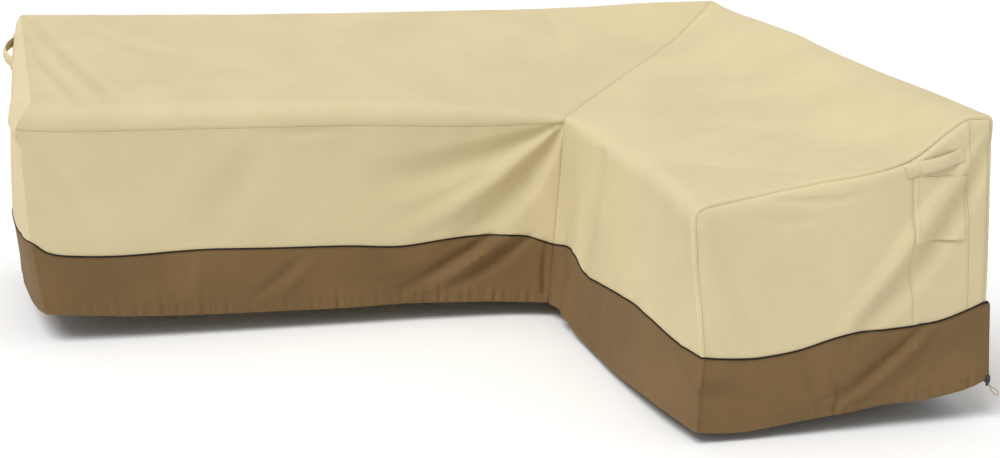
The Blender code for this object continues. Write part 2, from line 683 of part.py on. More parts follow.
def innermost(corners, a, b, along):
    """Place along an axis at (a, b) on a four-sided face, for the split that lies further in."""
    first, second, third, last = (corner[along] for corner in corners)
    if a >= b:
        one = first + a * (second - first) + b * (last - second)
    else:
        one = first + b * (third - first) + a * (last - third)
    if a + b <= 1:
        two = first + a * (second - first) + b * (third - first)
    else:
        two = last + (1 - a) * (third - last) + (1 - b) * (second - last)
    return max(one, two)


def drape_over(tree, grid, along):
    """Move a grid out of an end panel until it clears the panel's outer face everywhere."""
    direction = Vector((0.0, 0.0, 0.0))
    direction[along] = 1.0
    for _ in range(SEATING_PASSES):
        for low, high in zip(grid, grid[1:]):
            for k in range(len(low) - 1):
                corners = (low[k], low[k + 1], high[k], high[k + 1])
                lack = 0.0
                for a in SEATING_SHARES:
                    for b in SEATING_SHARES:
                        near = corners[0].lerp(corners[1], a)
                        point = near.lerp(corners[2].lerp(corners[3], a), b)
                        point[along] = innermost(corners, a, b, along)
                        hit, facing, _, _ = tree.ray_cast(point - direction, direction)
                        need = SEWN_CLEARANCE / max(abs(facing[along]), LEAST_COSINE)
                        lack = max(lack, need - (hit[along] - point[along]))
                for corner in corners:
                    corner[along] -= lack
    return grid


def on_panel(tree, along, depth, height):
    """Point of an end panel at a depth from the back and a height."""
    origin = Vector((0.0, 0.0, height))
    origin[1 - along] = -depth
    origin[along] = FAR_OUTSIDE
    direction = Vector((0.0, 0.0, 0.0))
    direction[along] = 1.0
    return tree.ray_cast(origin, direction)[0]


def slab(name, inner, outer, parent, finish, turned):
    """Closed solid between two grids of points of the same size."""
    high, wide = len(inner), len(inner[0])
    count = high * wide
    points = [p for rows in (inner, outer) for row in rows for p in row]
    faces = []
    for j in range(high - 1):
        for i in range(wide - 1):
            a = j * wide + i
            for half in halves((a, a + 1, a + wide + 1, a + wide), points):
                faces.append(half)
                faces.append(tuple(count + k for k in reversed(half)))
    rim = [*range(wide), *[j * wide + wide - 1 for j in range(1, high)],
           *[(high - 1) * wide + i for i in range(wide - 2, -1, -1)],
           *[j * wide for j in range(high - 2, 0, -1)]]
    faces += [(b, a, count + a, count + b) for a, b in zip(rim, rim[1:] + rim[:1])]
    if turned:
        faces = [face[::-1] for face in faces]
    return mesh_object(name, points, faces, parent, finish)


def build_handle(name, tree, spec, along, parent, finish):
    """Strap sewn down at both ends and bowed out in between, on an end panel."""
    start, end = Vector(spec["from"]), Vector(spec["to"])
    run = end - start
    side = Vector((-run[1], run[0])).normalized() * STRAP_WIDTH * 0.5
    if side[1] < 0:
        side = -side
    shares = [k / STRAP_STEPS for k in range(STRAP_STEPS + 1)]
    inner = [[on_panel(tree, along, *(start + run * share + side * edge))
              for edge in (-1.0, 0.0, 1.0)] for share in shares]
    drape_over(tree, inner, along)
    outer = []
    for share, row in zip(shares, inner):
        free = (share - spec["sewn_start"]) / (1.0 - spec["sewn_start"] - spec["sewn_end"])
        free = min(max(free, 0.0), 1.0)
        rise = spec["bow"] * math.sin(math.pi * free)**STRAP_ARCH
        for point in row:
            point[along] -= rise
        edges = (STRAP_EDGE, STRAP_THICKNESS, STRAP_EDGE)
        outer.append([point.copy() for point in row])
        for point, thickness in zip(outer[-1], edges):
            point[along] -= thickness
    return slab(name, inner, outer, parent, finish, along == 0)


def build_flap(tree, parent, finish):
    """Flap that hangs over the vent, a little open at its lower lip."""
    steps = FLAP_STEPS
    inner, outer = [], []
    for j in range(steps + 1):
        down = j / steps
        height = FLAP_TOP_HEIGHT + (FLAP_LIP_HEIGHT - FLAP_TOP_HEIGHT) * down
        left = FLAP_LEFT_DEPTH - FLAP_LEAN * down
        right = FLAP_RIGHT_DEPTH - FLAP_LEAN * down
        inner.append([on_panel(tree, 1, left + (right - left) * i / steps, height)
                      for i in range(steps + 1)])
    drape_over(tree, inner, 1)
    for j, row in enumerate(inner):
        for i, point in enumerate(row):
            point[1] -= FLAP_LIP_OPEN * (j / steps)**2 * math.sin(math.pi * i / steps)
        outer.append([point - Vector((0.0, CLOTH, 0.0)) for point in row])
    return slab("vent_flap", inner, outer, parent, finish, False)


def build_lock(parent, finish):
    """Cord lock: a turned barrel with a push button."""
    centre = Vector(LOCK_CENTRE)
    points, faces = [], []
    for radius, z in LOCK_PROFILE:
        for k in range(LOCK_SIDES):
            angle = 2 * math.pi * k / LOCK_SIDES
            points.append(centre + Vector((radius * math.cos(angle), radius * math.sin(angle), z)))
    last = (len(LOCK_PROFILE) - 1) * LOCK_SIDES
    for j in range(len(LOCK_PROFILE) - 1):
        for k in range(LOCK_SIDES):
            a, b = j * LOCK_SIDES + k, j * LOCK_SIDES + (k + 1) % LOCK_SIDES
            faces.append((a, b, b + LOCK_SIDES, a + LOCK_SIDES))
    faces.append(tuple(range(LOCK_SIDES - 1, -1, -1)))
    faces.append(tuple(last + k for k in range(LOCK_SIDES)))
    return mesh_object("cord_lock", points, faces, parent, finish)


def main():
    for thing in list(bpy.data.objects):
        bpy.data.objects.remove(thing)
    origin = bpy.data.objects.new("carry_point", None)
    bpy.context.scene.collection.objects.link(origin)
    origin.location = [-c for c in CARRY_POINT]
    beige = material("beige_cloth", BEIGE, 0.85)
    brown = material("brown_cloth", BROWN, 0.85)
    trim = material("dark_piping", DARK_BROWN, 0.7)
    cord = material("tan_cord", CORD_TAN, 0.8)
    black = material("black_plastic", LOCK_BLACK, 0.45)

    surface = build_surface()
    normals = surface.normals()
    loop, piped = piping_loop(surface)
    shared = {}
    for name in BODY_PANELS + SKIRT_PANELS:
        for edge, _ in boundary(surface.faces[name]):
            shared[frozenset(edge)] = shared.get(frozenset(edge), 0) + 1

    def gap_of(a, b):
        edge = frozenset((a, b))
        if edge in piped:
            return PIPING_GAP
        return 0.5 * SEAM_GAP if shared[edge] == 2 else 0.0

    panels = []
    for name in BODY_PANELS + SKIRT_PANELS:
        points, faces = sheet(surface, normals, name, gap_of)
        finish = brown if name in SKIRT_PANELS else beige
        panels.append(mesh_object(name, points, faces, origin, finish))
    path = [surface.points[k] + normals[k] * PIPING_PROUD for k in loop]
    tube("piping", path, PIPING_RADIUS, 1, True, origin, trim)

    tree = cloth_tree(panels)
    build_handle("handle_right", tree, RIGHT_HANDLE, 1, origin, beige)
    build_handle("handle_left", tree, LEFT_HANDLE, 0, origin, beige)
    build_flap(tree, origin, beige)
    build_lock(origin, black)
    route = [Vector(LOCK_CENTRE) + p for p in smooth_route(CORD_POINTS, 3)]
    tube("cord_loop", route, CORD_RADIUS, 2, False, origin, cord)


main()
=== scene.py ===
"""Looks of the fitted outdoor sofa cover: draped cloth, piping, handles, flap, cord and lock.

Layout coordinates: the outer back corner of the L is at x = 0, y = 0, the long part runs from
there to -X, the wing runs to -Y, and z is the height above the ground.  Every panel lies on one
common surface, which is swept along the L through stations and closed by a patch at each end.
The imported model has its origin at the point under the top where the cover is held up, so every
piece is moved there when it is made.
"""
import json
import math

import bpy
import numpy as np
from mathutils import Matrix, Vector, noise
from mathutils.bvhtree import BVHTree
from mathutils.kdtree import KDTree

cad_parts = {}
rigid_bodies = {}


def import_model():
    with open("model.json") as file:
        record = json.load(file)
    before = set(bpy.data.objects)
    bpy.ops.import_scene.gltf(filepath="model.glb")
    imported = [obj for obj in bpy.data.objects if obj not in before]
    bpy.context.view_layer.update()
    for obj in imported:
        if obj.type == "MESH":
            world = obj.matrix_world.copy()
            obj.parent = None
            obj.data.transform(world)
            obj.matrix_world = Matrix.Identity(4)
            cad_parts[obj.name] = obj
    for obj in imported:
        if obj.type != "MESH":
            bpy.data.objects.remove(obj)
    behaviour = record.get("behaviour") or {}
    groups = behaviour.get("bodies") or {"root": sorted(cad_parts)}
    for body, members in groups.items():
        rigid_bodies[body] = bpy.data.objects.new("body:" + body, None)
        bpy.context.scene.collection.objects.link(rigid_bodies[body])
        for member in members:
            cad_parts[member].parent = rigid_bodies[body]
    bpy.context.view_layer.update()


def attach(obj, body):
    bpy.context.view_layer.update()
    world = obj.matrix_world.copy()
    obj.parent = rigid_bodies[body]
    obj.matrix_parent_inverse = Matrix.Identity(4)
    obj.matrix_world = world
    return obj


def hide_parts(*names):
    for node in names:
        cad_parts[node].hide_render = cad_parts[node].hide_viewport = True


for thing in list(bpy.data.objects):
    bpy.data.objects.remove(thing)
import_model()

# ---------------------------------------------------------------- sizes shared with the model

WING = 2.110
DEPTH = 0.875
CORNER = -0.880
CLOTH = 0.002
SEAM_GAP = 0.0004
PIPING_RADIUS = 0.0027
PIPING_PROUD = 0.0014
RIDGE_RADIUS = 0.030
RIDGE_INSET = 0.012
RIDGE_FALL_SHARE = 0.25
CROWN_DEPTH = 0.110
SHOULDER_DEPTH = 0.285
BROW_LEAN = 0.1
BAND_PROUD = 0.002
BAND_DROP = 0.004
LEFT_ROLL = {"radius": 0.004, "turns": (35.0, 17.0, 0.0)}
WING_ROLL = {"radius": 0.011, "turns": (90.0, 70.0, 50.0, 33.0, 16.0, 0.0)}
CARRY_POINT = np.array((-0.440, -0.440, 0.770))

# Colours of the cloth and the fittings, as linear RGB.
BEIGE = (0.645, 0.546, 0.326)
FADED_BEIGE = (0.690, 0.600, 0.390)
BEIGE_THREAD = (0.50, 0.41, 0.23)
BEIGE_MOTTLING = 0.04
BROWN = (0.183, 0.112, 0.046)
FADED_BROWN = (0.215, 0.140, 0.066)
BROWN_THREAD = (0.110, 0.068, 0.030)
BROWN_MOTTLING = 0.10
DARK_BROWN = (0.020, 0.012, 0.008)
WORN_BROWN = (0.085, 0.055, 0.034)
CORD_TAN = (0.420, 0.300, 0.160)
PALE_TAN = (0.60, 0.47, 0.29)
LOCK_BLACK = (0.018, 0.018, 0.020)
WORN_BLACK = (0.060, 0.058, 0.056)

# Sections across the long part.  at: the x where the section meets the front edge.  Heights:
# ridge, crown and shoulder lie on the top near the back, brow is the front edge, band the front
# seam.  The out columns say how far a line lies in front of the plain depth.
SECTION_COLUMNS = ("at", "ridge", "crown", "shoulder", "brow", "brow_out", "brow_radius", "band",
                   "pipe", "pipe_out", "hem", "hem_out")
LONG_SECTIONS = (
    (-2.640, 0.915, 0.896, 0.862, 0.762, 0.000, 0.050, 0.690, 0.333, 0.004, 0.098, 0.004),
    (-2.590, 0.914, 0.893, 0.857, 0.757, 0.000, 0.050, 0.684, 0.297, 0.005, 0.094, 0.008),
    (-2.500, 0.912, 0.890, 0.852, 0.752, 0.000, 0.050, 0.680, 0.282, 0.005, 0.088, 0.011),
    (-2.350, 0.908, 0.884, 0.844, 0.744, 0.000, 0.050, 0.679, 0.276, 0.005, 0.078, 0.014),
    (-2.100, 0.903, 0.879, 0.839, 0.742, 0.000, 0.050, 0.677, 0.283, 0.005, 0.070, 0.015),
    (-1.850, 0.902, 0.876, 0.836, 0.740, 0.000, 0.050, 0.673, 0.276, 0.005, 0.066, 0.015),
    (-1.600, 0.903, 0.876, 0.835, 0.736, 0.000, 0.050, 0.670, 0.270, 0.005, 0.063, 0.015),
    (-1.420, 0.904, 0.877, 0.832, 0.727, 0.000, 0.048, 0.662, 0.260, 0.006, 0.066, 0.015),
    (-1.250, 0.909, 0.878, 0.828, 0.715, 0.000, 0.044, 0.655, 0.276, 0.008, 0.061, 0.016),
    (-1.100, 0.919, 0.880, 0.823, 0.702, 0.001, 0.036, 0.653, 0.283, 0.012, 0.057, 0.020),
    (-0.980, 0.924, 0.880, 0.816, 0.688, 0.003, 0.026, 0.656, 0.278, 0.024, 0.052, 0.032),
    (CORNER, 0.925, 0.880, 0.809, 0.673, 0.007, 0.014, 0.658, 0.250, 0.044, 0.052, 0.057),
)

# Sections across the wing, in the same columns.  at: the y where it meets the inner edge.
WING_SECTIONS = (
    (CORNER, 0.925, 0.880, 0.809, 0.673, 0.007, 0.014, 0.658, 0.250, 0.044, 0.052, 0.057),
    (-0.960, 0.919, 0.881, 0.807, 0.677, 0.003, 0.022, 0.650, 0.266, 0.036, 0.045, 0.050),
    (-1.050, 0.916, 0.884, 0.806, 0.681, 0.001, 0.034, 0.645, 0.278, 0.030, 0.040, 0.045),
    (-1.095, 0.917, 0.886, 0.806, 0.683, 0.000, 0.040, 0.640, 0.266, 0.030, 0.030, 0.045),
    (-1.140, 0.919, 0.887, 0.806, 0.684, 0.000, 0.042, 0.640, 0.230, 0.030, 0.024, 0.045),
    (-1.320, 0.924, 0.891, 0.803, 0.686, 0.000, 0.045, 0.640, 0.243, 0.030, 0.021, 0.045),
    (-1.540, 0.912, 0.891, 0.797, 0.687, 0.000, 0.045, 0.640, 0.265, 0.030, 0.025, 0.045),
    (-1.760, 0.909, 0.892, 0.792, 0.687, 0.006, 0.045, 0.640, 0.270, 0.026, 0.036, 0.040),
    (-1.960, 0.911, 0.896, 0.789, 0.686, 0.022, 0.042, 0.638, 0.258, 0.014, 0.042, 0.026),
    (-WING, 0.909, 0.901, 0.788, 0.686, 0.038, 0.036, 0.636, 0.258, -0.004, 0.038, 0.002),
)

# The back: how far it lies in front of the back plane, and the heights of its hem and piping,
# at the far left, at the outer corner and at the wing's end.
BACK_COLUMNS = ("share", "back_pipe", "back_pipe_in", "back_hem", "back_hem_in")
LONG_BACK = ((0.0, 0.300, 0.004, 0.082, 0.012), (0.5, 0.292, -0.008, 0.074, 0.006),
             (1.0, 0.296, -0.004, 0.078, 0.004))
WING_BACK = ((0.0, 0.296, -0.004, 0.078, 0.004), (0.5, 0.286, -0.006, 0.070, 0.004),
             (0.8, 0.305, -0.006, 0.082, -0.006), (1.0, 0.358, -0.014, 0.127, -0.028))

# Lines that run along the whole sweep, from the back hem up, over the top and down to the front
# hem, with the number of rows of the model from the line before.  A row may be a fraction here.
LINES = (("back_hem", 0), ("back_pipe", 4), ("back_seam", 5), ("ridge_start", 1),
         ("ridge_end", 4), ("brow_start", 11), ("brow_end", 4), ("band", 1),
         ("pipe", 5), ("hem", 4))
TOP_DEPTHS = (0.100, 0.155, 0.210, 0.270, 0.350, 0.440, 0.530, 0.620, 0.710, 0.780)
STRIP_LEFT_DEPTH = 0.270
STRIP_RIGHT_DEPTH = 0.100
STRIP_LEFT_BELOW = 0.225
STRIP_RIGHT_BELOW = 0.050

# Where the end seams lie along the sweep, by line: x on the long part, y on the wing.
LEFT_END_SEAM = {"back_hem": -2.585, "back_pipe": -2.610, "ridge_start": -2.590,
                 "ridge_end": -2.584, "brow_start": -2.590, "brow_end": -2.640,
                 "pipe": -2.612, "hem": -2.575}
WING_END_SEAM = {"back_hem": -2.110, "back_pipe": -2.100, "ridge_start": -2.088,
                 "ridge_end": -2.085, "brow_start": -2.100, "brow_end": -2.104,
                 "pipe": -2.124, "hem": -2.120}

# Piping and hem across the ends: depth from the back, and the two heights.
LEFT_END = ((0.875, 0.335, 0.100), (0.600, 0.318, 0.093), (0.300, 0.306, 0.086),
            (0.000, 0.300, 0.082))
WING_END = ((0.866, 0.258, 0.038), (0.790, 0.250, 0.030), (0.720, 0.246, 0.029),
            (0.647, 0.251, 0.037), (0.575, 0.261, 0.046), (0.500, 0.280, 0.053),
            (0.430, 0.295, 0.060), (0.318, 0.301, 0.075), (0.206, 0.307, 0.078),
            (0.130, 0.317, 0.088), (0.065, 0.336, 0.102), (0.000, 0.358, 0.127))

# How far each end bellies out, by share of the height from the piping to the top.
LEFT_BELLY = 0.062
LEFT_BELLY_SHAPE = ((0.0, 0.66), (0.30, 0.66), (0.50, 0.52), (0.66, 0.40), (0.78, 0.36),
                    (0.86, 0.24), (0.93, 0.12), (1.0, 0.0))
LEFT_HEM_SHARE = 1.10
WING_BELLY = 0.014
WING_BELLY_SHAPE = ((0.0, 0.5), (0.5, 1.0), (0.85, 0.8), (1.0, 0.0))
WING_HEM_SHARE = 0.35

# Folds, by the side they lie on.  Each point of a fold has its two coordinates across that side,
# the half width there and the height, below zero for a trough.
FOLDS = (
    # The fan that is pulled out of the inner corner, across the long front.
    ("front",
     ((-0.889, 0.657, 0.010, -0.004), (-0.985, 0.614, 0.032, -0.017), (-1.140, 0.556, 0.062, -0.023),
      (-1.370, 0.500, 0.085, -0.015), (-1.560, 0.470, 0.10, -0.002)),
     ((-0.893, 0.652, 0.008, 0.002), (-1.010, 0.562, 0.030, 0.009), (-1.100, 0.485, 0.044, 0.014),
      (-1.260, 0.378, 0.060, 0.011), (-1.430, 0.295, 0.06, 0.002)),
     ((-0.888, 0.648, 0.012, -0.006), (-0.937, 0.562, 0.036, -0.021), (-1.005, 0.462, 0.062, -0.027),
      (-1.090, 0.375, 0.074, -0.019), (-1.200, 0.290, 0.066, -0.008), (-1.310, 0.210, 0.050, -0.002)),
     ((-1.110, 0.292, 0.018, -0.004), (-1.190, 0.240, 0.030, -0.022), (-1.300, 0.180, 0.032, -0.022),
      (-1.430, 0.110, 0.030, -0.005)),
     ((-1.045, 0.290, 0.018, 0.003), (-1.130, 0.238, 0.026, 0.011), (-1.240, 0.165, 0.028, 0.011),
      (-1.340, 0.110, 0.026, 0.002)),
     ((-0.985, 0.285, 0.018, -0.004), (-1.060, 0.225, 0.030, -0.021), (-1.150, 0.170, 0.034, -0.020),
      (-1.260, 0.115, 0.028, -0.004)),
     ((-0.940, 0.270, 0.016, -0.002), (-0.945, 0.180, 0.024, -0.009), (-0.945, 0.090, 0.024, -0.010)),
     ((-1.340, 0.225, 0.020, 0.002), (-1.400, 0.195, 0.024, 0.007), (-1.500, 0.170, 0.024, 0.004),
      (-1.560, 0.160, 0.020, 0.000)),
     ((-1.760, 0.240, 0.018, -0.003), (-1.820, 0.190, 0.028, -0.011), (-1.880, 0.145, 0.026, -0.008),
      (-1.930, 0.105, 0.020, -0.002)),
     ((-1.715, 0.225, 0.018, 0.002), (-1.770, 0.180, 0.024, 0.007), (-1.820, 0.130, 0.022, 0.003)),
     ((-2.085, 0.280, 0.030, 0.001), (-2.100, 0.200, 0.042, 0.006), (-2.115, 0.120, 0.040, 0.002)),
     # Softer hollows of the front.
     ((-2.600, 0.660, 0.030, -0.003), (-2.520, 0.560, 0.055, -0.008), (-2.450, 0.440, 0.065, -0.007),
      (-2.420, 0.340, 0.060, 0.000)),
     ((-1.600, 0.660, 0.018, -0.001), (-1.750, 0.652, 0.026, -0.005), (-1.900, 0.655, 0.018, -0.001)),
     ((-1.900, 0.590, 0.100, -0.003), (-1.990, 0.460, 0.110, -0.006), (-2.050, 0.330, 0.100, -0.002))),
    # The soft crest of the long brow, which leaves the seam and comes back to it.
    ("top_long",
     ((-2.600, -0.875, 0.020, 0.001), (-2.338, -0.850, 0.038, 0.004), (-2.122, -0.825, 0.044, 0.006),
      (-1.764, -0.828, 0.046, 0.005), (-1.319, -0.850, 0.036, 0.003), (-1.101, -0.862, 0.020, 0.001)),
     # Pulled out of the back left corner, across the long top.
     ((-2.575, -0.090, 0.016, 0.002), (-2.530, -0.280, 0.030, 0.003), (-2.485, -0.470, 0.036, 0.005),
      (-2.425, -0.670, 0.040, 0.005), (-2.380, -0.790, 0.03, 0.002)),
     ((-2.550, -0.060, 0.016, -0.002), (-2.490, -0.240, 0.030, -0.003), (-2.435, -0.430, 0.036, -0.005),
      (-2.370, -0.640, 0.040, -0.004), (-2.32, -0.770, 0.045, -0.002)),
     ((-2.580, -0.400, 0.016, 0.002), (-2.545, -0.560, 0.026, 0.003), (-2.505, -0.710, 0.030, 0.004),
      (-2.475, -0.845, 0.030, 0.002)),
     ((-2.565, -0.340, 0.014, -0.001), (-2.515, -0.520, 0.026, -0.003), (-2.465, -0.680, 0.030, -0.003),
      (-2.430, -0.820, 0.030, -0.001)),
     ((-2.430, -0.080, 0.040, -0.002), (-2.280, -0.230, 0.080, -0.005), (-2.080, -0.430, 0.080, -0.002)),
     ((-0.697, -0.040, 0.014, -0.001), (-0.703, -0.150, 0.022, -0.005), (-0.720, -0.300, 0.026, -0.004),
      (-0.740, -0.400, 0.020, 0.000)),
     ((-1.900, -0.250, 0.090, -0.003), (-1.500, -0.330, 0.110, -0.005), (-1.100, -0.330, 0.090, -0.002))),
    # The wing's inner side, and the facet beside the inner corner.
    ("inner",
     ((-1.060, 0.580, 0.080, 0.0005), (-1.090, 0.430, 0.090, 0.005), (-1.110, 0.260, 0.080, 0.006)),
     ((-1.240, 0.620, 0.080, -0.006), (-1.210, 0.400, 0.090, -0.010), (-1.190, 0.200, 0.080, -0.006)),
     ((-1.720, 0.560, 0.110, -0.003), (-1.640, 0.180, 0.110, -0.006)),
     ((-1.000, 0.300, 0.040, -0.005), (-1.000, 0.170, 0.052, -0.013), (-0.995, 0.050, 0.050, -0.012)),
     ((-1.105, 0.285, 0.022, 0.003), (-1.095, 0.190, 0.034, 0.009), (-1.080, 0.050, 0.034, 0.007)),
     ((-2.000, 0.265, 0.012, 0.002), (-2.060, 0.215, 0.020, 0.010), (-2.118, 0.168, 0.018, 0.011)),
     ((-1.420, 0.240, 0.030, -0.002), (-1.460, 0.150, 0.040, -0.006), (-1.480, 0.060, 0.036, -0.003))),
    # The end of the wing: the fold that runs down from the back corner.
    ("end",
     ((-0.050, 0.850, 0.018, 0.003), (-0.100, 0.765, 0.034, 0.009), (-0.165, 0.680, 0.044, 0.012),
      (-0.235, 0.585, 0.050, 0.013), (-0.305, 0.475, 0.054, 0.012), (-0.380, 0.385, 0.052, 0.008),
      (-0.440, 0.300, 0.045, 0.002)),
     ((-0.020, 0.830, 0.020, -0.006), (-0.060, 0.735, 0.046, -0.018), (-0.125, 0.625, 0.060, -0.024),
      (-0.205, 0.505, 0.068, -0.025), (-0.280, 0.415, 0.064, -0.020), (-0.365, 0.325, 0.056, -0.010),
      (-0.410, 0.280, 0.050, -0.004)),
     ((-0.893, 0.570, 0.008, -0.001), (-0.892, 0.500, 0.014, -0.006), (-0.887, 0.420, 0.014, -0.005),
      (-0.885, 0.350, 0.010, -0.001)),
     ((-0.850, 0.600, 0.040, -0.002), (-0.770, 0.440, 0.070, -0.008), (-0.670, 0.290, 0.060, -0.003)),
     ((-0.830, 0.520, 0.020, 0.001), (-0.800, 0.400, 0.030, 0.005), (-0.790, 0.300, 0.026, 0.001)),
     ((-0.600, 0.640, 0.060, -0.002), (-0.520, 0.500, 0.080, -0.006), (-0.470, 0.330, 0.060, -0.002)),
     ((-0.150, 0.300, 0.016, 0.004), (-0.205, 0.250, 0.024, 0.015), (-0.275, 0.190, 0.026, 0.016),
      (-0.350, 0.130, 0.024, 0.009), (-0.400, 0.090, 0.020, 0.002)),
     ((-0.190, 0.310, 0.016, -0.003), (-0.260, 0.240, 0.026, -0.014), (-0.340, 0.175, 0.030, -0.015),
      (-0.430, 0.105, 0.026, -0.008)),
     ((-0.100, 0.270, 0.014, 0.003), (-0.150, 0.215, 0.022, 0.008), (-0.205, 0.150, 0.022, 0.004)),
     ((-0.120, 0.250, 0.014, -0.003), (-0.200, 0.180, 0.022, -0.008), (-0.280, 0.110, 0.020, -0.002)),
     ((-0.862, 0.172, 0.016, 0.010), (-0.825, 0.198, 0.018, 0.009), (-0.780, 0.228, 0.014, 0.002)),
     ((-0.860, 0.145, 0.014, -0.006), (-0.800, 0.150, 0.028, -0.011), (-0.700, 0.110, 0.034, -0.003)),
     ((-0.560, 0.230, 0.040, -0.003), (-0.520, 0.140, 0.036, -0.012), (-0.480, 0.070, 0.026, -0.006)),
     ((-0.475, 0.165, 0.010, -0.002), (-0.445, 0.135, 0.014, -0.008), (-0.440, 0.095, 0.016, -0.009),
      (-0.455, 0.060, 0.012, -0.004)),
     ((-0.400, 0.150, 0.010, -0.001), (-0.425, 0.125, 0.013, -0.006), (-0.470, 0.115, 0.013, -0.006),
      (-0.510, 0.085, 0.010, -0.002)),
     ((-0.385, 0.115, 0.010, 0.001), (-0.420, 0.095, 0.014, 0.006), (-0.440, 0.070, 0.014, 0.004))),
    # Fine wrinkles that run across the wing's top and over its end.
    ("top_wing",
     ((-0.800, -1.630, 0.012, -0.0008), (-0.761, -1.693, 0.018, -0.0029),
      (-0.660, -1.860, 0.022, -0.0042), (-0.553, -1.996, 0.020, -0.0032),
      (-0.500, -2.060, 0.014, -0.0008)),
     ((-0.834, -1.682, 0.014, -0.0016), (-0.642, -1.852, 0.020, -0.0038),
      (-0.516, -1.914, 0.020, -0.0035), (-0.420, -1.935, 0.014, -0.0008)),
     ((-0.672, -1.777, 0.014, -0.0008), (-0.476, -1.757, 0.022, -0.0038),
      (-0.291, -1.700, 0.018, -0.0016)),
     ((-0.620, -1.640, 0.014, 0.0008), (-0.470, -1.660, 0.022, 0.0029), (-0.330, -1.620, 0.018, 0.0008)),
     ((-0.391, -1.455, 0.014, -0.0008), (-0.277, -1.495, 0.020, -0.0038),
      (-0.202, -1.577, 0.016, -0.0022), (-0.150, -1.640, 0.012, 0.0000)),
     ((-0.416, -1.694, 0.014, -0.0008), (-0.320, -1.762, 0.020, -0.0042),
      (-0.250, -1.844, 0.018, -0.0035), (-0.180, -1.930, 0.014, 0.0000)),
     ((-0.616, -1.404, 0.016, -0.0008), (-0.418, -1.403, 0.024, -0.0035),
      (-0.295, -1.426, 0.018, -0.0010)),
     ((-0.839, -1.966, 0.014, -0.0016), (-0.676, -2.071, 0.020, -0.0042),
      (-0.560, -2.092, 0.014, -0.0016)),
     ((-0.480, -2.080, 0.014, -0.0016), (-0.380, -2.055, 0.020, -0.0042),
      (-0.280, -2.057, 0.016, -0.0016)),
     ((-0.640, -2.010, 0.014, 0.0008), (-0.460, -2.010, 0.022, 0.0035), (-0.320, -1.990, 0.016, 0.0010)),
     ((-0.489, -1.110, 0.016, -0.0008), (-0.273, -1.187, 0.024, -0.0042),
      (-0.180, -1.213, 0.018, -0.0016)),
     ((-0.306, -1.353, 0.016, -0.0010), (-0.230, -1.410, 0.022, -0.0042),
      (-0.170, -1.470, 0.016, -0.0016)),
     ((-0.559, -1.761, 0.014, -0.0008), (-0.336, -1.830, 0.022, -0.0038),
      (-0.220, -1.894, 0.016, -0.0016)),
     ((-0.318, -1.211, 0.016, 0.0010), (-0.223, -1.288, 0.024, 0.0048), (-0.146, -1.394, 0.016, 0.0016)),
     ((-0.840, -2.013, 0.012, 0.0008), (-0.730, -2.060, 0.018, 0.0035), (-0.640, -2.100, 0.014, 0.0008))),
    ("end",
     ((-0.700, 0.700, 0.010, -0.0008), (-0.600, 0.690, 0.018, -0.0048), (-0.480, 0.690, 0.018, -0.0048),
      (-0.380, 0.710, 0.012, -0.0008)),
     ((-0.760, 0.660, 0.012, -0.0008), (-0.650, 0.630, 0.024, -0.0048), (-0.540, 0.640, 0.018, -0.0016))),
    # The left end, behind its silhouette, and the fold that sticks out below its brow.
    ("left",
     ((-0.560, 0.770, 0.030, 0.002), (-0.680, 0.735, 0.045, 0.016), (-0.790, 0.700, 0.050, 0.030),
      (-0.860, 0.680, 0.045, 0.018)),
     ((-0.300, 0.720, 0.060, -0.008), (-0.470, 0.600, 0.090, -0.014), (-0.640, 0.480, 0.080, -0.006)),
     ((-0.100, 0.560, 0.070, -0.005), (-0.200, 0.430, 0.090, -0.010), (-0.300, 0.300, 0.070, -0.004)),
     ((-0.840, 0.600, 0.030, -0.003), (-0.780, 0.450, 0.050, -0.009), (-0.740, 0.330, 0.044, -0.003)),
     ((-0.500, 0.290, 0.030, -0.002), (-0.460, 0.200, 0.044, -0.010), (-0.430, 0.110, 0.040, -0.006)),
     ((-0.200, 0.280, 0.030, -0.002), (-0.170, 0.200, 0.040, -0.008), (-0.160, 0.110, 0.034, -0.004))),
    # The backs, which hang straight with a few shallow hollows.
    ("back_long",
     ((-2.300, 0.760, 0.120, -0.004), (-2.200, 0.500, 0.150, -0.009), (-2.150, 0.280, 0.120, -0.004)),
     ((-1.500, 0.700, 0.140, -0.003), (-1.560, 0.450, 0.170, -0.009), (-1.600, 0.240, 0.130, -0.004)),
     ((-0.800, 0.780, 0.110, -0.004), (-0.700, 0.520, 0.150, -0.008), (-0.680, 0.260, 0.120, -0.003)),
     ((-0.080, 0.800, 0.040, -0.003), (-0.240, 0.600, 0.080, -0.010), (-0.420, 0.420, 0.080, -0.003)),
     ((-1.900, 0.280, 0.030, -0.001), (-1.930, 0.190, 0.040, -0.009), (-1.950, 0.100, 0.036, -0.005)),
     ((-1.050, 0.285, 0.030, -0.001), (-1.020, 0.190, 0.042, -0.010), (-1.000, 0.100, 0.036, -0.005))),
    ("back_wing",
     ((-0.100, 0.800, 0.040, -0.003), (-0.260, 0.610, 0.080, -0.010), (-0.460, 0.430, 0.080, -0.003)),
     ((-1.150, 0.740, 0.130, -0.004), (-1.080, 0.480, 0.160, -0.009), (-1.050, 0.260, 0.120, -0.004)),
     ((-2.040, 0.820, 0.040, -0.004), (-1.900, 0.640, 0.080, -0.012), (-1.700, 0.440, 0.090, -0.005)),
     ((-0.700, 0.280, 0.030, -0.001), (-0.730, 0.190, 0.042, -0.010), (-0.740, 0.100, 0.036, -0.005)),
     ((-1.500, 0.290, 0.030, -0.001), (-1.470, 0.190, 0.044, -0.010), (-1.450, 0.100, 0.038, -0.005))),
)
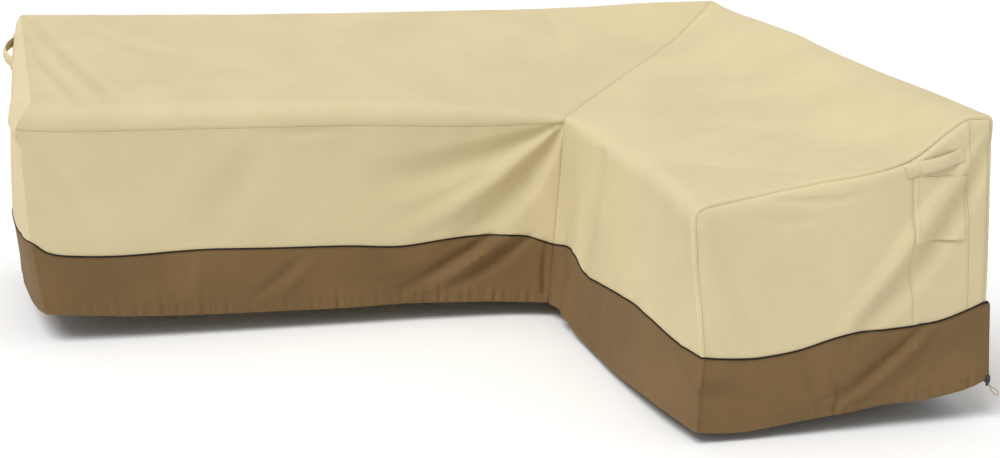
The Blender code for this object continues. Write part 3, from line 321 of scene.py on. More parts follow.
# The two axes across each side, the axis that a fold moves and the sense that is outward.
FOLD_SIDES = {
    "front": (0, 2, 1, -1.0),
    "inner": (1, 2, 0, -1.0),
    "end": (0, 2, 1, -1.0),
    "left": (1, 2, 0, -1.0),
    "top_long": (0, 1, 2, 1.0),
    "top_wing": (0, 1, 2, 1.0),
    "back_long": (0, 2, 1, 1.0),
    "back_wing": (1, 2, 0, 1.0),
}

# Handles and flap, placed on the end panels by depth from the back and height.
STRAP_WIDTH = 0.038
STRAP_THICKNESS = 0.0052
RIGHT_HANDLE = {"from": (0.284, 0.757), "to": (0.108, 0.801), "bow": 0.010,
                "sewn_start": 0.26, "sewn_end": 0.10}
LEFT_HANDLE = {"from": (0.300, 0.786), "to": (0.120, 0.846), "bow": 0.025,
               "sewn_start": 0.14, "sewn_end": 0.14}
STRAP_ARCH = 0.8
FLAP_TOP_HEIGHT = 0.742
FLAP_LIP_HEIGHT = 0.554
FLAP_LIP_OPEN = 0.0035
FLAP_LEAN = 0.012
FLAP_LEFT_DEPTH = 0.256
FLAP_RIGHT_DEPTH = 0.092

# Hem cord and its lock, at the wing's back corner.  The cord's points are measured from the
# lock's centre.
LOCK_CENTRE = np.array((0.0334, -2.112, 0.128))
CORD_RADIUS = 0.0015
CORD_POINTS = ((0.0038, -0.0039, -0.0112), (0.0042, -0.0044, -0.0164), (0.0054, -0.0059, -0.0225),
               (0.0077, -0.0081, -0.0294), (0.0113, -0.0106, -0.0351), (0.0153, -0.0137, -0.0399),
               (0.0199, -0.0166, -0.0444), (0.0240, -0.0175, -0.0464), (0.0286, -0.0167, -0.0463),
               (0.0320, -0.0143, -0.0440), (0.0328, -0.0114, -0.0404), (0.0307, -0.0089, -0.0370),
               (0.0256, -0.0065, -0.0329), (0.0200, -0.0043, -0.0291), (0.0138, -0.0014, -0.0258),
               (0.0084, 0.0007, -0.0216), (0.0059, 0.0012, -0.0164), (0.0054, 0.0012, -0.0112))


def spline(table, column, at):
    """Smooth value of one column at a place along a table, whose first column is the place."""
    rows = sorted(table)
    places = [row[0] for row in rows]
    values = [row[column] for row in rows]
    if at <= places[0]:
        return values[0]
    if at >= places[-1]:
        return values[-1]
    index = max(i for i in range(len(places) - 1) if places[i] <= at)

    def slope(i):
        low, high = max(i - 1, 0), min(i + 1, len(places) - 1)
        return (values[high] - values[low]) / (places[high] - places[low])

    step = places[index + 1] - places[index]
    t = (at - places[index]) / step
    return ((2 * t**3 - 3 * t**2 + 1) * values[index]
            + (t**3 - 2 * t**2 + t) * step * slope(index)
            + (3 * t**2 - 2 * t**3) * values[index + 1]
            + (t**3 - t**2) * step * slope(index + 1))


def line_rows():
    """Row number of each named line, with the plain steps of the solids."""
    index, rows = {}, 0
    for name, steps in LINES:
        rows += steps
        index[name] = rows
    return index


ROW = line_rows()
BROW_MIDDLE = (ROW["brow_start"] + ROW["brow_end"]) // 2
RIDGE_MIDDLE = (ROW["ridge_start"] + ROW["ridge_end"]) // 2
SIDE_STEPS = ROW["pipe"] - BROW_MIDDLE
SKIRT_STEPS = ROW["hem"] - ROW["pipe"]
TOP_ROWS = range(ROW["ridge_end"], ROW["brow_start"] + 1)


def blend(start, end, share):
    return tuple(a + (b - a) * share for a, b in zip(start, end))


def rounded(start, corner, end, t):
    return tuple((1 - t)**2 * a + 2 * t * (1 - t) * b + t**2 * c
                 for a, b, c in zip(start, corner, end))


def section(front, back, rows):
    """Outline of one section as depth and height at the given rows, which may be fractions."""
    hem = (back["back_hem_in"], back["back_hem"])
    pipe = (back["back_pipe_in"], back["back_pipe"])
    ridge = (RIDGE_INSET, front["ridge"])
    ridge_start = (RIDGE_INSET, front["ridge"] - RIDGE_RADIUS)
    ridge_end = (RIDGE_INSET + RIDGE_RADIUS,
                 front["ridge"] + (front["crown"] - front["ridge"]) * RIDGE_FALL_SHARE)
    seam = (RIDGE_INSET, front["ridge"] - 2 * RIDGE_RADIUS)
    edge = DEPTH + front["brow_out"]
    radius = front["brow_radius"]
    fall = (front["shoulder"] - front["brow"]) / (edge - SHOULDER_DEPTH)
    brow_start = (edge - radius, front["brow"] + fall * radius)
    brow_end = (edge + BROW_LEAN * radius, front["brow"] - radius)
    shoulder = (SHOULDER_DEPTH, front["shoulder"])
    middle = blend(shoulder, (edge, front["brow"]), 0.5)
    top = (ridge_end, (CROWN_DEPTH, front["crown"]), shoulder, middle, brow_start)
    band = (edge + BAND_PROUD, min(front["band"], brow_end[1] - BAND_DROP))
    front_pipe = (DEPTH + front["pipe_out"], front["pipe"])
    front_hem = (DEPTH + front["hem_out"], front["hem"])
    depths = (ridge_end[0], *TOP_DEPTHS, brow_start[0])
    straight = {"back_pipe": (hem, pipe), "back_seam": (pipe, seam),
                "ridge_start": (seam, ridge_start), "band": (brow_end, band),
                "pipe": (band, front_pipe), "hem": (front_pipe, front_hem)}
    corners = {"ridge_end": (ridge_start, ridge, ridge_end),
               "brow_end": (brow_start, (edge, front["brow"]), brow_end)}
    points = []
    for row in rows:
        name, steps = next((n, s) for n, s in LINES if row <= ROW[n] and s)
        share = (row - ROW[name] + steps) / steps
        if name in straight:
            points.append(blend(*straight[name], share))
        elif name in corners:
            points.append(rounded(*corners[name], share))
        else:
            depth = float(np.interp(row, TOP_ROWS, depths))
            points.append((depth, spline(top, 1, depth)))
    return points


def named(table, columns, at):
    return {name: spline(table, k + 1, at) for k, name in enumerate(columns[1:])}


def seam_place(seam, row):
    """Place of the end seam along the sweep at one row."""
    rows = sorted((ROW[name], place) for name, place in seam.items())
    return float(np.interp(row, [r for r, _ in rows], [p for _, p in rows]))


def inset(points, rows, amount):
    """A section drawn in by an amount, square to its own outline."""
    moved = []
    for k, (point, row) in enumerate(zip(points, rows)):
        before, after = points[max(k - 1, 0)], points[min(k + 1, len(points) - 1)]
        run, rise = after[0] - before[0], after[1] - before[1]
        size = math.hypot(run, rise)
        upright = row < ROW["back_seam"] or row >= ROW["band"]
        moved.append((point[0] + amount * rise / size,
                      point[1] - (0.0 if upright else amount * run / size)))
    return moved


def arm(sections, backs, seam, roll, along, stations, rows):
    """Points of one arm of the L, as an array of columns from its rolled end to the corner.

    along is 0 for the long part, whose stations lie along x, and 1 for the wing.
    """
    end = seam_place(seam, ROW["brow_end"])
    corner = section(named(sections, SECTION_COLUMNS, CORNER),
                     named(backs, BACK_COLUMNS, 1.0 - along), rows)
    first = section(named(sections, SECTION_COLUMNS, end),
                    named(backs, BACK_COLUMNS, float(along)), rows)
    radius = roll["radius"]
    columns = []
    for turn in roll["turns"]:
        angle = math.radians(turn)
        drawn = inset(first, rows, radius * (1 - math.cos(angle)))
        columns.append([(depth, seam_place(seam, row) + radius * (1 - math.sin(angle)), z)
                        for row, (depth, z) in zip(rows, drawn)])
    for share in stations:
        station = end + (CORNER - end) * share
        outline = section(named(sections, SECTION_COLUMNS, station),
                          named(backs, BACK_COLUMNS, share if along == 0 else 1.0 - share), rows)
        column = []
        for row, (depth, z), (corner_depth, _) in zip(rows, outline, corner):
            start = seam_place(seam, row) + radius
            column.append((depth, start + (-corner_depth - start) * share, z))
        columns.append(column)
    columns.append([(depth, -depth, z) for depth, z in corner])
    found = np.array(columns)
    depth, place, z = found[..., 0], found[..., 1], found[..., 2]
    return np.stack((place, -depth, z) if along == 0 else (-depth, place, z), axis=-1)


# ---------------------------------------------------------------- grids of the common surface

# Distances of the closest rows and columns from a seam, where the cloth turns in.
EDGE_PLACES = (0.0, 0.0015, 0.0040, 0.0080)
BODY_STEP = 0.012
BROW_ROUNDING = 0.045
SKIRT_STEP = 0.006
SIDE_HEIGHT = 0.42
SIDE_STEP = 0.011
SIDE_BEND = 0.75
SKIRT_HEIGHT = 0.210
SKIRT_PLACES = (0.0, 0.004, 0.009, 0.018, 0.030, 0.044, 0.060, 0.076, 0.092, 0.107, 0.121, 0.134,
                0.146, 0.157, 0.167, 0.175, 0.181, 0.185, 0.190, 0.196, 0.202, 0.207, 0.210)


def graded(length, spacing, start=True, end=True):
    """Shares of a length: even steps, closer together at a start or end that is a seam."""
    low = EDGE_PLACES if start else (0.0,)
    high = EDGE_PLACES if end else (0.0,)
    steps = max(1, round((length - low[-1] - high[-1]) / spacing))
    inner = np.linspace(low[-1], length - high[-1], steps + 1)
    places = [*low[:-1], *inner, *(length - place for place in reversed(high[:-1]))]
    return np.array(places) / length


def side_shares():
    """Shares of the way up a side, from the piping to the middle of the edge above it."""
    seam = (ROW["back_seam"] - ROW["back_pipe"]) / SIDE_STEPS
    return np.array([*(graded(SIDE_HEIGHT, SIDE_STEP) * seam),
                     *np.linspace(seam, SIDE_BEND, 5)[1:], *np.linspace(SIDE_BEND, 1.0, 6)[1:]])


def top_rows():
    """Rows from the middle of the ridge to the middle of the brow."""
    depths = (RIDGE_INSET + RIDGE_RADIUS, *TOP_DEPTHS, DEPTH - BROW_ROUNDING)
    stops = (depths[0], STRIP_RIGHT_DEPTH, STRIP_LEFT_DEPTH, depths[-1])
    rows = list(np.linspace(RIDGE_MIDDLE, ROW["ridge_end"], 5))
    for k, (low, high) in enumerate(zip(stops, stops[1:])):
        shares = graded(high - low, BODY_STEP, k > 0, k < 2)
        rows += list(np.interp(low + shares * (high - low), depths, TOP_ROWS))[1:]
    return np.array(rows + list(np.linspace(ROW["brow_start"], BROW_MIDDLE, 5))[1:])


UP = side_shares()
OVER = top_rows()
DOWN = np.array(SKIRT_PLACES) / SKIRT_HEIGHT
BODY_ROWS = np.array([*(ROW["back_pipe"] + SIDE_STEPS * UP), *OVER[1:],
                      *(ROW["pipe"] - SIDE_STEPS * UP[::-1])[1:]])
FRONT_ROWS = ROW["pipe"] + SKIRT_STEPS * DOWN
BACK_ROWS = ROW["back_pipe"] - SKIRT_STEPS * DOWN


def row_at(place):
    """Number of the fine body row that is nearest to a row of the lines."""
    return int(np.argmin(abs(BODY_ROWS - place)))


RIDGE_ROW, BROW_ROW = row_at(RIDGE_MIDDLE), row_at(BROW_MIDDLE)
BAND_ROW, BACK_ROW = row_at(ROW["band"]), row_at(ROW["back_seam"])
# The seams of the vent strip: rows of the wing's top, and columns of the wing's end panel.
VENT_ROWS = [ROW["ridge_end"] + 1 + TOP_DEPTHS.index(depth)
             for depth in (STRIP_LEFT_DEPTH, STRIP_RIGHT_DEPTH)]
VENT_COLUMNS = [int(np.argmin(abs(OVER[::-1] - row))) for row in VENT_ROWS]

# The ends: panel, its skirt, the body that it closes, and that body's front and back skirts.
ENDS = (("end", "skirt_end", "wing", "skirt_inner", "skirt_back_wing"),
        ("left", "skirt_left", "long", "skirt_front", "skirt_back_long"))
# Lengths that set the number of columns, and the widths over which the brows are rounded off.
LONG_RUN = 1.76
WING_RUN = 1.22
LONG_BROW_SOFTNESS = 0.013
WING_BROW_SOFTNESS = 0.020
SOFTEN_ROWS = 2.0
# How far a neighbour's folds and the moves that join two grids reach in from an edge.
END_REACH = 0.06
CORNER_REACH = 0.09
CORNER_WELD = 0.10
END_WELD = 0.08


def lengths(points, axis=0):
    """Length of cloth from the first point of an array to each other, along one axis."""
    steps = np.linalg.norm(np.diff(points, axis=axis), axis=-1)
    return np.insert(steps.cumsum(axis=axis), 0, 0.0, axis=axis)


def face_turns(grid):
    """Twice the area of each face of a grid, as a vector square to it."""
    return np.cross(grid[1:, 1:] - grid[:-1, :-1], grid[:-1, 1:] - grid[1:, :-1])


def smooth_step(low, high, value):
    t = np.clip((value - low) / (high - low), 0.0, 1.0)
    return t * t * (3 - 2 * t)


def end_cap(ring, skirt_front, skirt_back, table, along, belly, shape, hem_share, seams_below):
    """Grids of an end panel and of the skirt below it, inside the end seam.

    ring holds the points of the seam by body row.  Rows of the panel go up, rows of the skirt
    go down, columns go from the front to the back.  seams_below gives the depths at the piping of the
    columns that are seams, by row of the ring.
    """
    across = 1 - along
    back_side, top = ring[:RIDGE_ROW + 1], ring[RIDGE_ROW:BROW_ROW + 1][::-1]
    front_side = ring[BROW_ROW:][::-1]
    wide = BROW_MIDDLE - RIDGE_MIDDLE
    steps = BROW_MIDDLE - OVER[::-1]
    u, v = steps / wide, UP
    anchors = {0: -front_side[0][across], wide: -back_side[0][across]}
    anchors.update({BROW_MIDDLE - row: depth for row, depth in seams_below.items()})
    places = sorted(anchors)
    depths = np.interp(steps, places, [anchors[place] for place in places])
    round_off = np.sqrt(np.sin(np.pi * np.clip(u, 0.0, 1.0)).clip(0.0))

    def edge(start, end, column, share):
        run = (depths - anchors[0]) / (anchors[wide] - anchors[0])
        points = start + (end - start) * run[:, None]
        points[:, 2] = [spline(table, column, depth) for depth in depths]
        points[:, along] -= belly * share * round_off
        points[0], points[-1] = start, end
        return points

    pipe = edge(front_side[0], back_side[0], 1, shape[0][1])
    hem = edge(skirt_front[-1], skirt_back[-1], 2, shape[0][1] * hem_share)
    u3, v3 = u[None, :, None], v[:, None, None]
    panel = (front_side[:, None] * (1 - u3) + back_side[:, None] * u3
             + pipe[None] * (1 - v3) + top[None] * v3
             - (pipe[0] * (1 - u3) + pipe[-1] * u3) * (1 - v3)
             - (top[0] * (1 - u3) + top[-1] * u3) * v3)
    amount = np.array([spline(shape, 1, share) for share in v]) - shape[0][1] * (1 - v)
    panel[..., along] -= belly * amount[:, None] * round_off[None, :]
    skirt = pipe[None] + (hem - pipe)[None] * DOWN[:, None, None]
    skirt[:, 0], skirt[:, -1] = skirt_front, skirt_back
    return panel, skirt


def press(points, weights):
    """Press the folds of each side into an array of points, by the weight of the side there."""
    for side, *folds in FOLDS:
        if side not in weights:
            continue
        u, v, axis, outward = FOLD_SIDES[side]
        for fold in folds:
            line = np.array(fold)
            places = points[..., (u, v)]
            nearest = np.full(places.shape[:-1], np.inf)
            rise = np.zeros(places.shape[:-1])
            for start, end in zip(line, line[1:]):
                run = end[:2] - start[:2]
                share = np.clip((places - start[:2]) @ run / (run @ run), 0.0, 1.0)
                middle = start[:2] + share[..., None] * run
                half_width = start[2] + share * (end[2] - start[2])
                away = np.linalg.norm(places - middle, axis=-1) / half_width
                height = start[3] + share * (end[3] - start[3])
                lift = height * (0.5 + 0.5 * np.cos(np.pi * np.minimum(away, 1.0)))
                closer = away < nearest
                rise = np.where(closer, lift, rise)
                nearest = np.where(closer, away, nearest)
            points[..., axis] += outward * rise * weights[side]


def near_edge(grid, column, reach):
    """Weight of each column of a grid: 1 at an edge column, 0 from a reach away from it."""
    line = grid if column == 0 else grid[::-1]
    weight = 1 - smooth_step(0.0, reach, lengths(line).mean(axis=1))
    return weight if column == 0 else weight[::-1]


def weld(grid, column, target, reach):
    """Bring one edge column of a grid to the target, spreading the move over nearby columns."""
    grid += (target - grid[column])[None] * near_edge(grid, column, reach)[:, None, None]


def row_weights(low, high):
    return smooth_step(low, high, BODY_ROWS)[None, :]


def soften(grid, first, last, width):
    """Round the outline of an arm off between two rows, over a width along the cloth."""
    place = lengths(grid, 1).mean(axis=0)
    share = np.gradient(place)
    matrix = np.exp(-0.5 * ((place[:, None] - place[None, :]) / width)**2) * share[None, :]
    matrix /= matrix.sum(axis=1, keepdims=True)
    weight = row_weights(first - SOFTEN_ROWS, first) * (1 - row_weights(last, last + SOFTEN_ROWS))
    smooth = np.einsum("jk,ikc->ijc", matrix, grid)
    grid += (smooth - grid) * weight[..., None]


def build_grids():
    """All panels as grids of points, before their folds.  First index: columns."""
    grids = {}
    for names, run, *data in (
            (("long", "skirt_front", "skirt_back_long"), LONG_RUN,
             LONG_SECTIONS, LONG_BACK, LEFT_END_SEAM, LEFT_ROLL, 0),
            (("wing", "skirt_inner", "skirt_back_wing"), WING_RUN,
             WING_SECTIONS, WING_BACK, WING_END_SEAM, WING_ROLL, 1)):
        for name, spacing, rows in zip(names, (BODY_STEP, SKIRT_STEP, SKIRT_STEP),
                                       (BODY_ROWS, FRONT_ROWS, BACK_ROWS)):
            grids[name] = arm(*data, graded(run, spacing)[1:-1], rows)
    soften(grids["long"], ROW["brow_start"], ROW["band"] + 1, LONG_BROW_SOFTNESS)
    soften(grids["wing"], ROW["brow_start"], ROW["band"] + 2, WING_BROW_SOFTNESS)
    vent_seams = dict(zip(VENT_ROWS, (STRIP_LEFT_BELOW, STRIP_RIGHT_BELOW)))
    shapes = {"end": (WING_END, 1, WING_BELLY, WING_BELLY_SHAPE, WING_HEM_SHARE, vent_seams),
              "left": (LEFT_END, 0, LEFT_BELLY, LEFT_BELLY_SHAPE, LEFT_HEM_SHARE, {})}
    for name, skirt, body, front, back in ENDS:
        panel, hem = end_cap(grids[body][0], grids[front][0], grids[back][0], *shapes[name])
        grids[name], grids[skirt] = panel.transpose(1, 0, 2), hem.transpose(1, 0, 2)
    return grids


def fold_grids(grids):
    """Press the folds in, tapered where a side passes into its neighbour, and join the grids."""
    front = row_weights(BROW_MIDDLE, ROW["band"])
    over = row_weights(ROW["back_seam"], ROW["ridge_end"]) * (
        1 - row_weights(ROW["brow_start"], ROW["brow_end"]))
    rear = 1 - row_weights(ROW["back_seam"], RIDGE_MIDDLE)
    for side, other, own_end, top, behind, names in (
            ("front", "inner", "left", "top_long", "back_long",
             ("long", "skirt_front", "skirt_back_long")),
            ("inner", "front", "end", "top_wing", "back_wing",
             ("wing", "skirt_inner", "skirt_back_wing"))):
        for name, forward, above, back in zip(names, (front, 1.0, 0.0), (over, 0.0, 0.0),
                                              (rear, 0.0, 1.0)):
            start = near_edge(grids[name], 0, END_REACH)[:, None]
            corner = near_edge(grids[name], -1, CORNER_REACH)[:, None]
            press(grids[name], {side: forward, other: forward * corner, own_end: start,
                                top: above, behind: back})
    for name, other in (("wing", "long"), ("skirt_inner", "skirt_front"),
                        ("skirt_back_wing", "skirt_back_long")):
        weld(grids[name], -1, grids[other][-1], CORNER_WELD)
    for name, skirt, body, front_skirt, back_skirt in ENDS:
        press(grids[name], {name: 1.0})
        press(grids[skirt], {name: 1.0})
        ring = grids[body][0]
        weld(grids[name], 0, ring[BROW_ROW:][::-1], END_WELD)
        weld(grids[name], -1, ring[:RIDGE_ROW + 1], END_WELD)
        weld(grids[name].transpose(1, 0, 2), -1, ring[RIDGE_ROW:BROW_ROW + 1][::-1], END_WELD)
        weld(grids[skirt], 0, grids[front_skirt][0], END_WELD)
        weld(grids[skirt], -1, grids[back_skirt][0], END_WELD)


# The sense in which each grid's own normal must face.
FACING = {"long": (0, 0, 1), "wing": (0, 0, 1), "end": (0, -1, 0), "left": (-1, 0, 0),
          "skirt_front": (0, -1, 0), "skirt_back_long": (0, 1, 0), "skirt_inner": (-1, 0, 0),
          "skirt_back_wing": (1, 0, 0), "skirt_end": (0, -1, 0), "skirt_left": (-1, 0, 0)}
BODY_GRIDS = ("long", "wing", "end", "left")
SKIRT_GRIDS = ("skirt_front", "skirt_inner", "skirt_end", "skirt_back_wing", "skirt_back_long",
               "skirt_left")


def shared_points(grids, names):
    """For each grid, the number of the shared point at each of its places."""
    flat = np.concatenate([grids[name].reshape(-1, 3) for name in names])
    _, inverse = np.unique(np.round(flat, 5), axis=0, return_inverse=True)
    inverse = inverse.reshape(-1)
    found, start = {}, 0
    for name in names:
        size = grids[name].shape[0] * grids[name].shape[1]
        found[name] = inverse[start:start + size].reshape(grids[name].shape[:2])
        start += size
    return found


def grid_normals(grids, shared, senses):
    """Outward normals at all points, the same where panels meet."""
    total = np.zeros((1 + max(int(index.max()) for index in shared.values()), 3))
    for name, index in shared.items():
        turn = (face_turns(grids[name]) * senses[name]).reshape(-1, 3)
        for part in (index[1:, 1:], index[:-1, :-1], index[:-1, 1:], index[1:, :-1]):
            np.add.at(total, part.reshape(-1), turn)
    total /= np.linalg.norm(total, axis=1, keepdims=True).clip(1e-12)
    return {name: total[index] for name, index in shared.items()}


def find_senses(grids):
    """Whether each grid's own normal faces outward, as 1 or -1."""
    return {name: 1.0 if (face_turns(grid).reshape(-1, 3) @ np.array(FACING[name])).sum() > 0
            else -1.0 for name, grid in grids.items()}


# ---------------------------------------------------------------- seams, wrinkles and gathers

class Lines:
    """Seam lines as polylines, with the distance and the run of any point along them."""

    def __init__(self, lines):
        self.starts, self.steps, self.runs = [], [], []
        for line in lines:
            steps = np.diff(line, axis=0)
            keep = np.linalg.norm(steps, axis=1) > 1e-6
            self.starts += list(line[:-1][keep])
            self.steps += list(steps[keep])
            self.runs += list(lengths(line)[:-1][keep])
        self.starts, self.steps = np.array(self.starts), np.array(self.steps)
        self.runs = np.array(self.runs)
        self.tree = KDTree(len(self.starts))
        for k, (start, step) in enumerate(zip(self.starts, self.steps)):
            self.tree.insert(start + 0.5 * step, k)
        self.tree.balance()

    def measure(self, points):
        """Distance to the nearest line and the run along it, for an array of points."""
        flat = points.reshape(-1, 3)
        near = np.array([[k for _, k, _ in self.tree.find_n(point, 3)] for point in flat])
        start, step = self.starts[near], self.steps[near]
        size = (step**2).sum(axis=-1)
        share = (((flat[:, None] - start) * step).sum(axis=-1) / size).clip(0.0, 1.0)
        away = np.linalg.norm(flat[:, None] - start - share[..., None] * step, axis=-1)
        best = away.argmin(axis=1)
        rows = np.arange(len(flat))
        run = self.runs[near[rows, best]] + share[rows, best] * np.sqrt(size[rows, best])
        return away[rows, best].reshape(points.shape[:-1]), run.reshape(points.shape[:-1])


def seam_lines(grids):
    """All sewn lines of the body, and the upright seams of the skirt."""
    long_grid, wing_grid = grids["long"], grids["wing"]
    return ([long_grid[:, BAND_ROW], long_grid[:, BACK_ROW], wing_grid[:, BACK_ROW],
             long_grid[-1], long_grid[0], wing_grid[0]]
            + [grids["end"][column] for column in VENT_COLUMNS]
            + [grids[name][k] for name in ("skirt_front", "skirt_back_long") for k in (0, -1)]
            + [grids[name][0] for name in ("skirt_inner", "skirt_back_wing")])


SEAM_DIP = 0.0008
SEAM_DIP_WIDTH = 0.0026
SEAM_SWELL = 0.0002
SEAM_SWELL_AT = 0.011
SEAM_SWELL_WIDTH = 0.007
PUCKER = 0.0007
PUCKER_REACH = 0.022
PUCKER_START = 0.004
# Waves along a seam: share, length and phase.  Swells and hollows of a panel: size and height.
PUCKER_WAVES = ((0.6, 0.031, 0.0), (0.4, 0.047, 1.3))
UNEVEN = ((0.30, 0.0022), (0.12, 0.0010), (0.05, 0.0003))
UNEVEN_FROM_PIPING = 0.05
# How the cloth is drawn in beside the piping.
PIPING_DIP = 0.0012
PIPING_DIP_WIDTH = 0.005


def uneven(points):
    """Slight swells and hollows that no panel is without, from smooth noise in space."""
    flat = points.reshape(-1, 3)
    total = np.zeros(len(flat))
    for size, height in UNEVEN:
        total += height * np.array([noise.noise(Vector(p / size)) for p in flat])
    return total.reshape(points.shape[:-1])


def seam_profile(away, run):
    """How far the cloth lies above its plain surface beside a seam."""
    swell = SEAM_SWELL * np.exp(-((away - SEAM_SWELL_AT) / SEAM_SWELL_WIDTH)**2)
    wave = sum(share * np.sin(run * 2 * np.pi / length + phase)
               for share, length, phase in PUCKER_WAVES)
    pucker = (PUCKER * wave * np.exp(-(away / PUCKER_REACH)**2)
              * smooth_step(0.0, PUCKER_START, away))
    return swell + pucker - SEAM_DIP * np.exp(-(away / SEAM_DIP_WIDTH)**2)


# Gathers along the hem of each skirt: where they are strong, as places along the hem and the
# strength there, from 0 to 1.
HEM_GATHERS = {
    "skirt_front": ((0.0, 0.3), (0.16, 0.9), (0.30, 1.0), (0.42, 0.3), (0.55, 0.9), (0.66, 0.4),
                    (0.78, 1.0), (1.0, 0.8)),
    "skirt_inner": ((0.0, 0.6), (0.2, 0.3), (0.7, 0.4), (1.0, 0.6)),
    "skirt_end": ((0.0, 0.7), (0.15, 0.3), (0.5, 0.8), (0.75, 1.0), (1.0, 0.9)),
    "skirt_left": ((0.0, 0.6), (0.5, 0.8), (1.0, 0.6)),
    "skirt_back_long": ((0.0, 0.6), (0.3, 1.0), (0.6, 0.5), (1.0, 0.7)),
    "skirt_back_wing": ((0.0, 0.8), (0.4, 0.5), (0.7, 0.9), (1.0, 0.7)),
}
GATHER_HEIGHT = 0.0058
GATHER_REACH = 0.045
GATHER_EDGE = 0.05
# Length, share and phase of each wave of gathers, and how unevenly they are spaced.
GATHER_WAVES = ((0.041, 0.5, 0.4), (0.027, 0.35, 2.1), (0.017, 0.15, 4.0))
GATHER_DRIFT = 0.7
GATHER_DRIFT_RATE = 9.0
# The casing of the hem cord: its height, its stitched line and how far it swells.
CASING = 0.027
CASING_DIP = 0.0009
CASING_DIP_WIDTH = 0.0035
CASING_SWELL = 0.0008


def hem_relief(name, grid):
    """Gathers, casing and stitched line of a skirt's hem, as a move along the normals."""
    down = lengths(grid, 1)
    up = down[:, -1:] - down
    run = lengths(grid[:, -1])
    strength = np.interp(run / run[-1], *zip(*HEM_GATHERS[name]))
    edges = smooth_step(0.0, GATHER_EDGE, run) * smooth_step(0.0, GATHER_EDGE, run[-1] - run)
    wave = 0.0
    for length, share, phase in GATHER_WAVES:
        drift = GATHER_DRIFT * np.sin(run * GATHER_DRIFT_RATE + phase)
        wave += share * (2 * np.abs(np.sin(np.pi * run / length + phase + drift)) - 1)
    rise = np.exp(-(up / GATHER_REACH)**2) * smooth_step(-0.004, 0.012, up)
    gathers = GATHER_HEIGHT * (wave * strength * edges)[:, None] * rise
    dip = CASING_DIP * np.exp(-((up - CASING) / CASING_DIP_WIDTH)**2)
    swell = CASING_SWELL * np.sin(np.pi * np.clip(up / CASING, 0.0, 1.0))
    return gathers - dip + swell, up


# ---------------------------------------------------------------- closed sheets

SHARP_ANGLE = math.radians(50)


def inward_shift(grid, gaps):
    """Draw the edges of a grid in by their gaps, spread over the closest rows and columns."""
    moved = grid.copy()
    for edge, gap in enumerate(gaps):
        line, target = grid, moved
        if edge > 1:
            line, target = line.transpose(1, 0, 2), target.transpose(1, 0, 2)
        if edge % 2:
            line, target = line[::-1], target[::-1]
        count = len(EDGE_PLACES)
        inward = line[count] - line[0]
        inward /= np.linalg.norm(inward, axis=-1, keepdims=True).clip(1e-9)
        away = np.linalg.norm(line[:count] - line[0], axis=-1)
        share = (1 - away / (1.6 * EDGE_PLACES[-1])).clip(0.0)
        target[:count] += inward * (gap * share)[..., None]
    return moved


def add_object(name, data, *materials):
    thing = bpy.data.objects.new(name, data)
    bpy.context.scene.collection.objects.link(thing)
    for finish in materials:
        data.materials.append(finish)
    return thing


def add_piece(name, points, faces, uvs, layers, finish):
    """A piece from layout points, faces, the cloth's flat coordinates and point attributes."""
    mesh = bpy.data.meshes.new(name)
    mesh.from_pydata((np.asarray(points) - CARRY_POINT).tolist(), [], faces)
    mesh.update()
    if uvs is not None:
        corners = np.zeros(len(mesh.loops), dtype=np.int32)
        mesh.loops.foreach_get("vertex_index", corners)
        layer = mesh.uv_layers.new(name="cloth")
        layer.data.foreach_set("uv", np.asarray(uvs)[corners].reshape(-1))
    for key, values in layers.items():
        attribute = mesh.attributes.new(key, "FLOAT", "POINT")
        attribute.data.foreach_set("value", np.asarray(values, dtype=np.float64).reshape(-1))
    mesh.shade_smooth()
    mesh.set_sharp_from_angle(angle=SHARP_ANGLE)
    return add_object(name, mesh, finish)


def grid_faces(wide, high, sense):
    index = np.arange(wide * high).reshape(wide, high)
    quads = np.stack((index[:-1, :-1], index[1:, :-1], index[1:, 1:], index[:-1, 1:]), axis=-1)
    quads = quads.reshape(-1, 4)
    return quads if sense > 0 else quads[:, ::-1]


def closed_grid(outer, inner, sense):
    """Points and faces of a closed body between two grids."""
    wide, high = outer.shape[:2]
    count = wide * high
    top = grid_faces(wide, high, sense)
    faces = top.tolist() + (top[:, ::-1] + count).tolist()
    index = np.arange(count).reshape(wide, high)
    rim = np.concatenate((index[:, 0], index[-1, 1:], index[-2::-1, -1], index[0, -2:0:-1]))
    for a, b in zip(rim, np.roll(rim, -1)):
        wall = (int(b), int(a), int(a) + count, int(b) + count)
        faces.append(wall if sense > 0 else wall[::-1])
    return np.concatenate((outer.reshape(-1, 3), inner.reshape(-1, 3))), faces


def add_sheet(name, outer, inner, sense, flat, layers, finish):
    """A closed sheet between two grids, whose faces share their flat coordinates and layers."""
    points, faces = closed_grid(outer, inner, sense)
    twice = {key: np.tile(values.reshape(-1), 2) for key, values in layers.items()}
    return add_piece(name, points, faces, np.tile(flat.reshape(-1, 2), (2, 1)), twice, finish)


def flat_places(grid):
    """Coordinates in metres across a grid, measured on the cloth."""
    return np.stack((lengths(grid), lengths(grid, 1)), axis=-1)


# The flattened part of the wing's end seam: where it fades in and out across the end, along the
# wing and upward, how flat it is, and how much farther away the seam counts as there.
FLAT_FROM = (-0.80, -0.70)
FLAT_TO = (-0.40, -0.28)
FLAT_BEFORE = (-2.09, -2.00)
FLAT_ABOVE = (0.58, 0.64)
FLAT_SHARE = 0.9
FLAT_AWAY = 0.008


def flattened(grid):
    """How much of the wing's end seam is smoothed away, where wrinkles flow over it."""
    across, depth, height = np.moveaxis(grid, -1, 0)
    along = smooth_step(*FLAT_FROM, across) * (1 - smooth_step(*FLAT_TO, across))
    return (FLAT_SHARE * along * (1 - smooth_step(*FLAT_BEFORE, depth))
            * smooth_step(*FLAT_ABOVE, height))


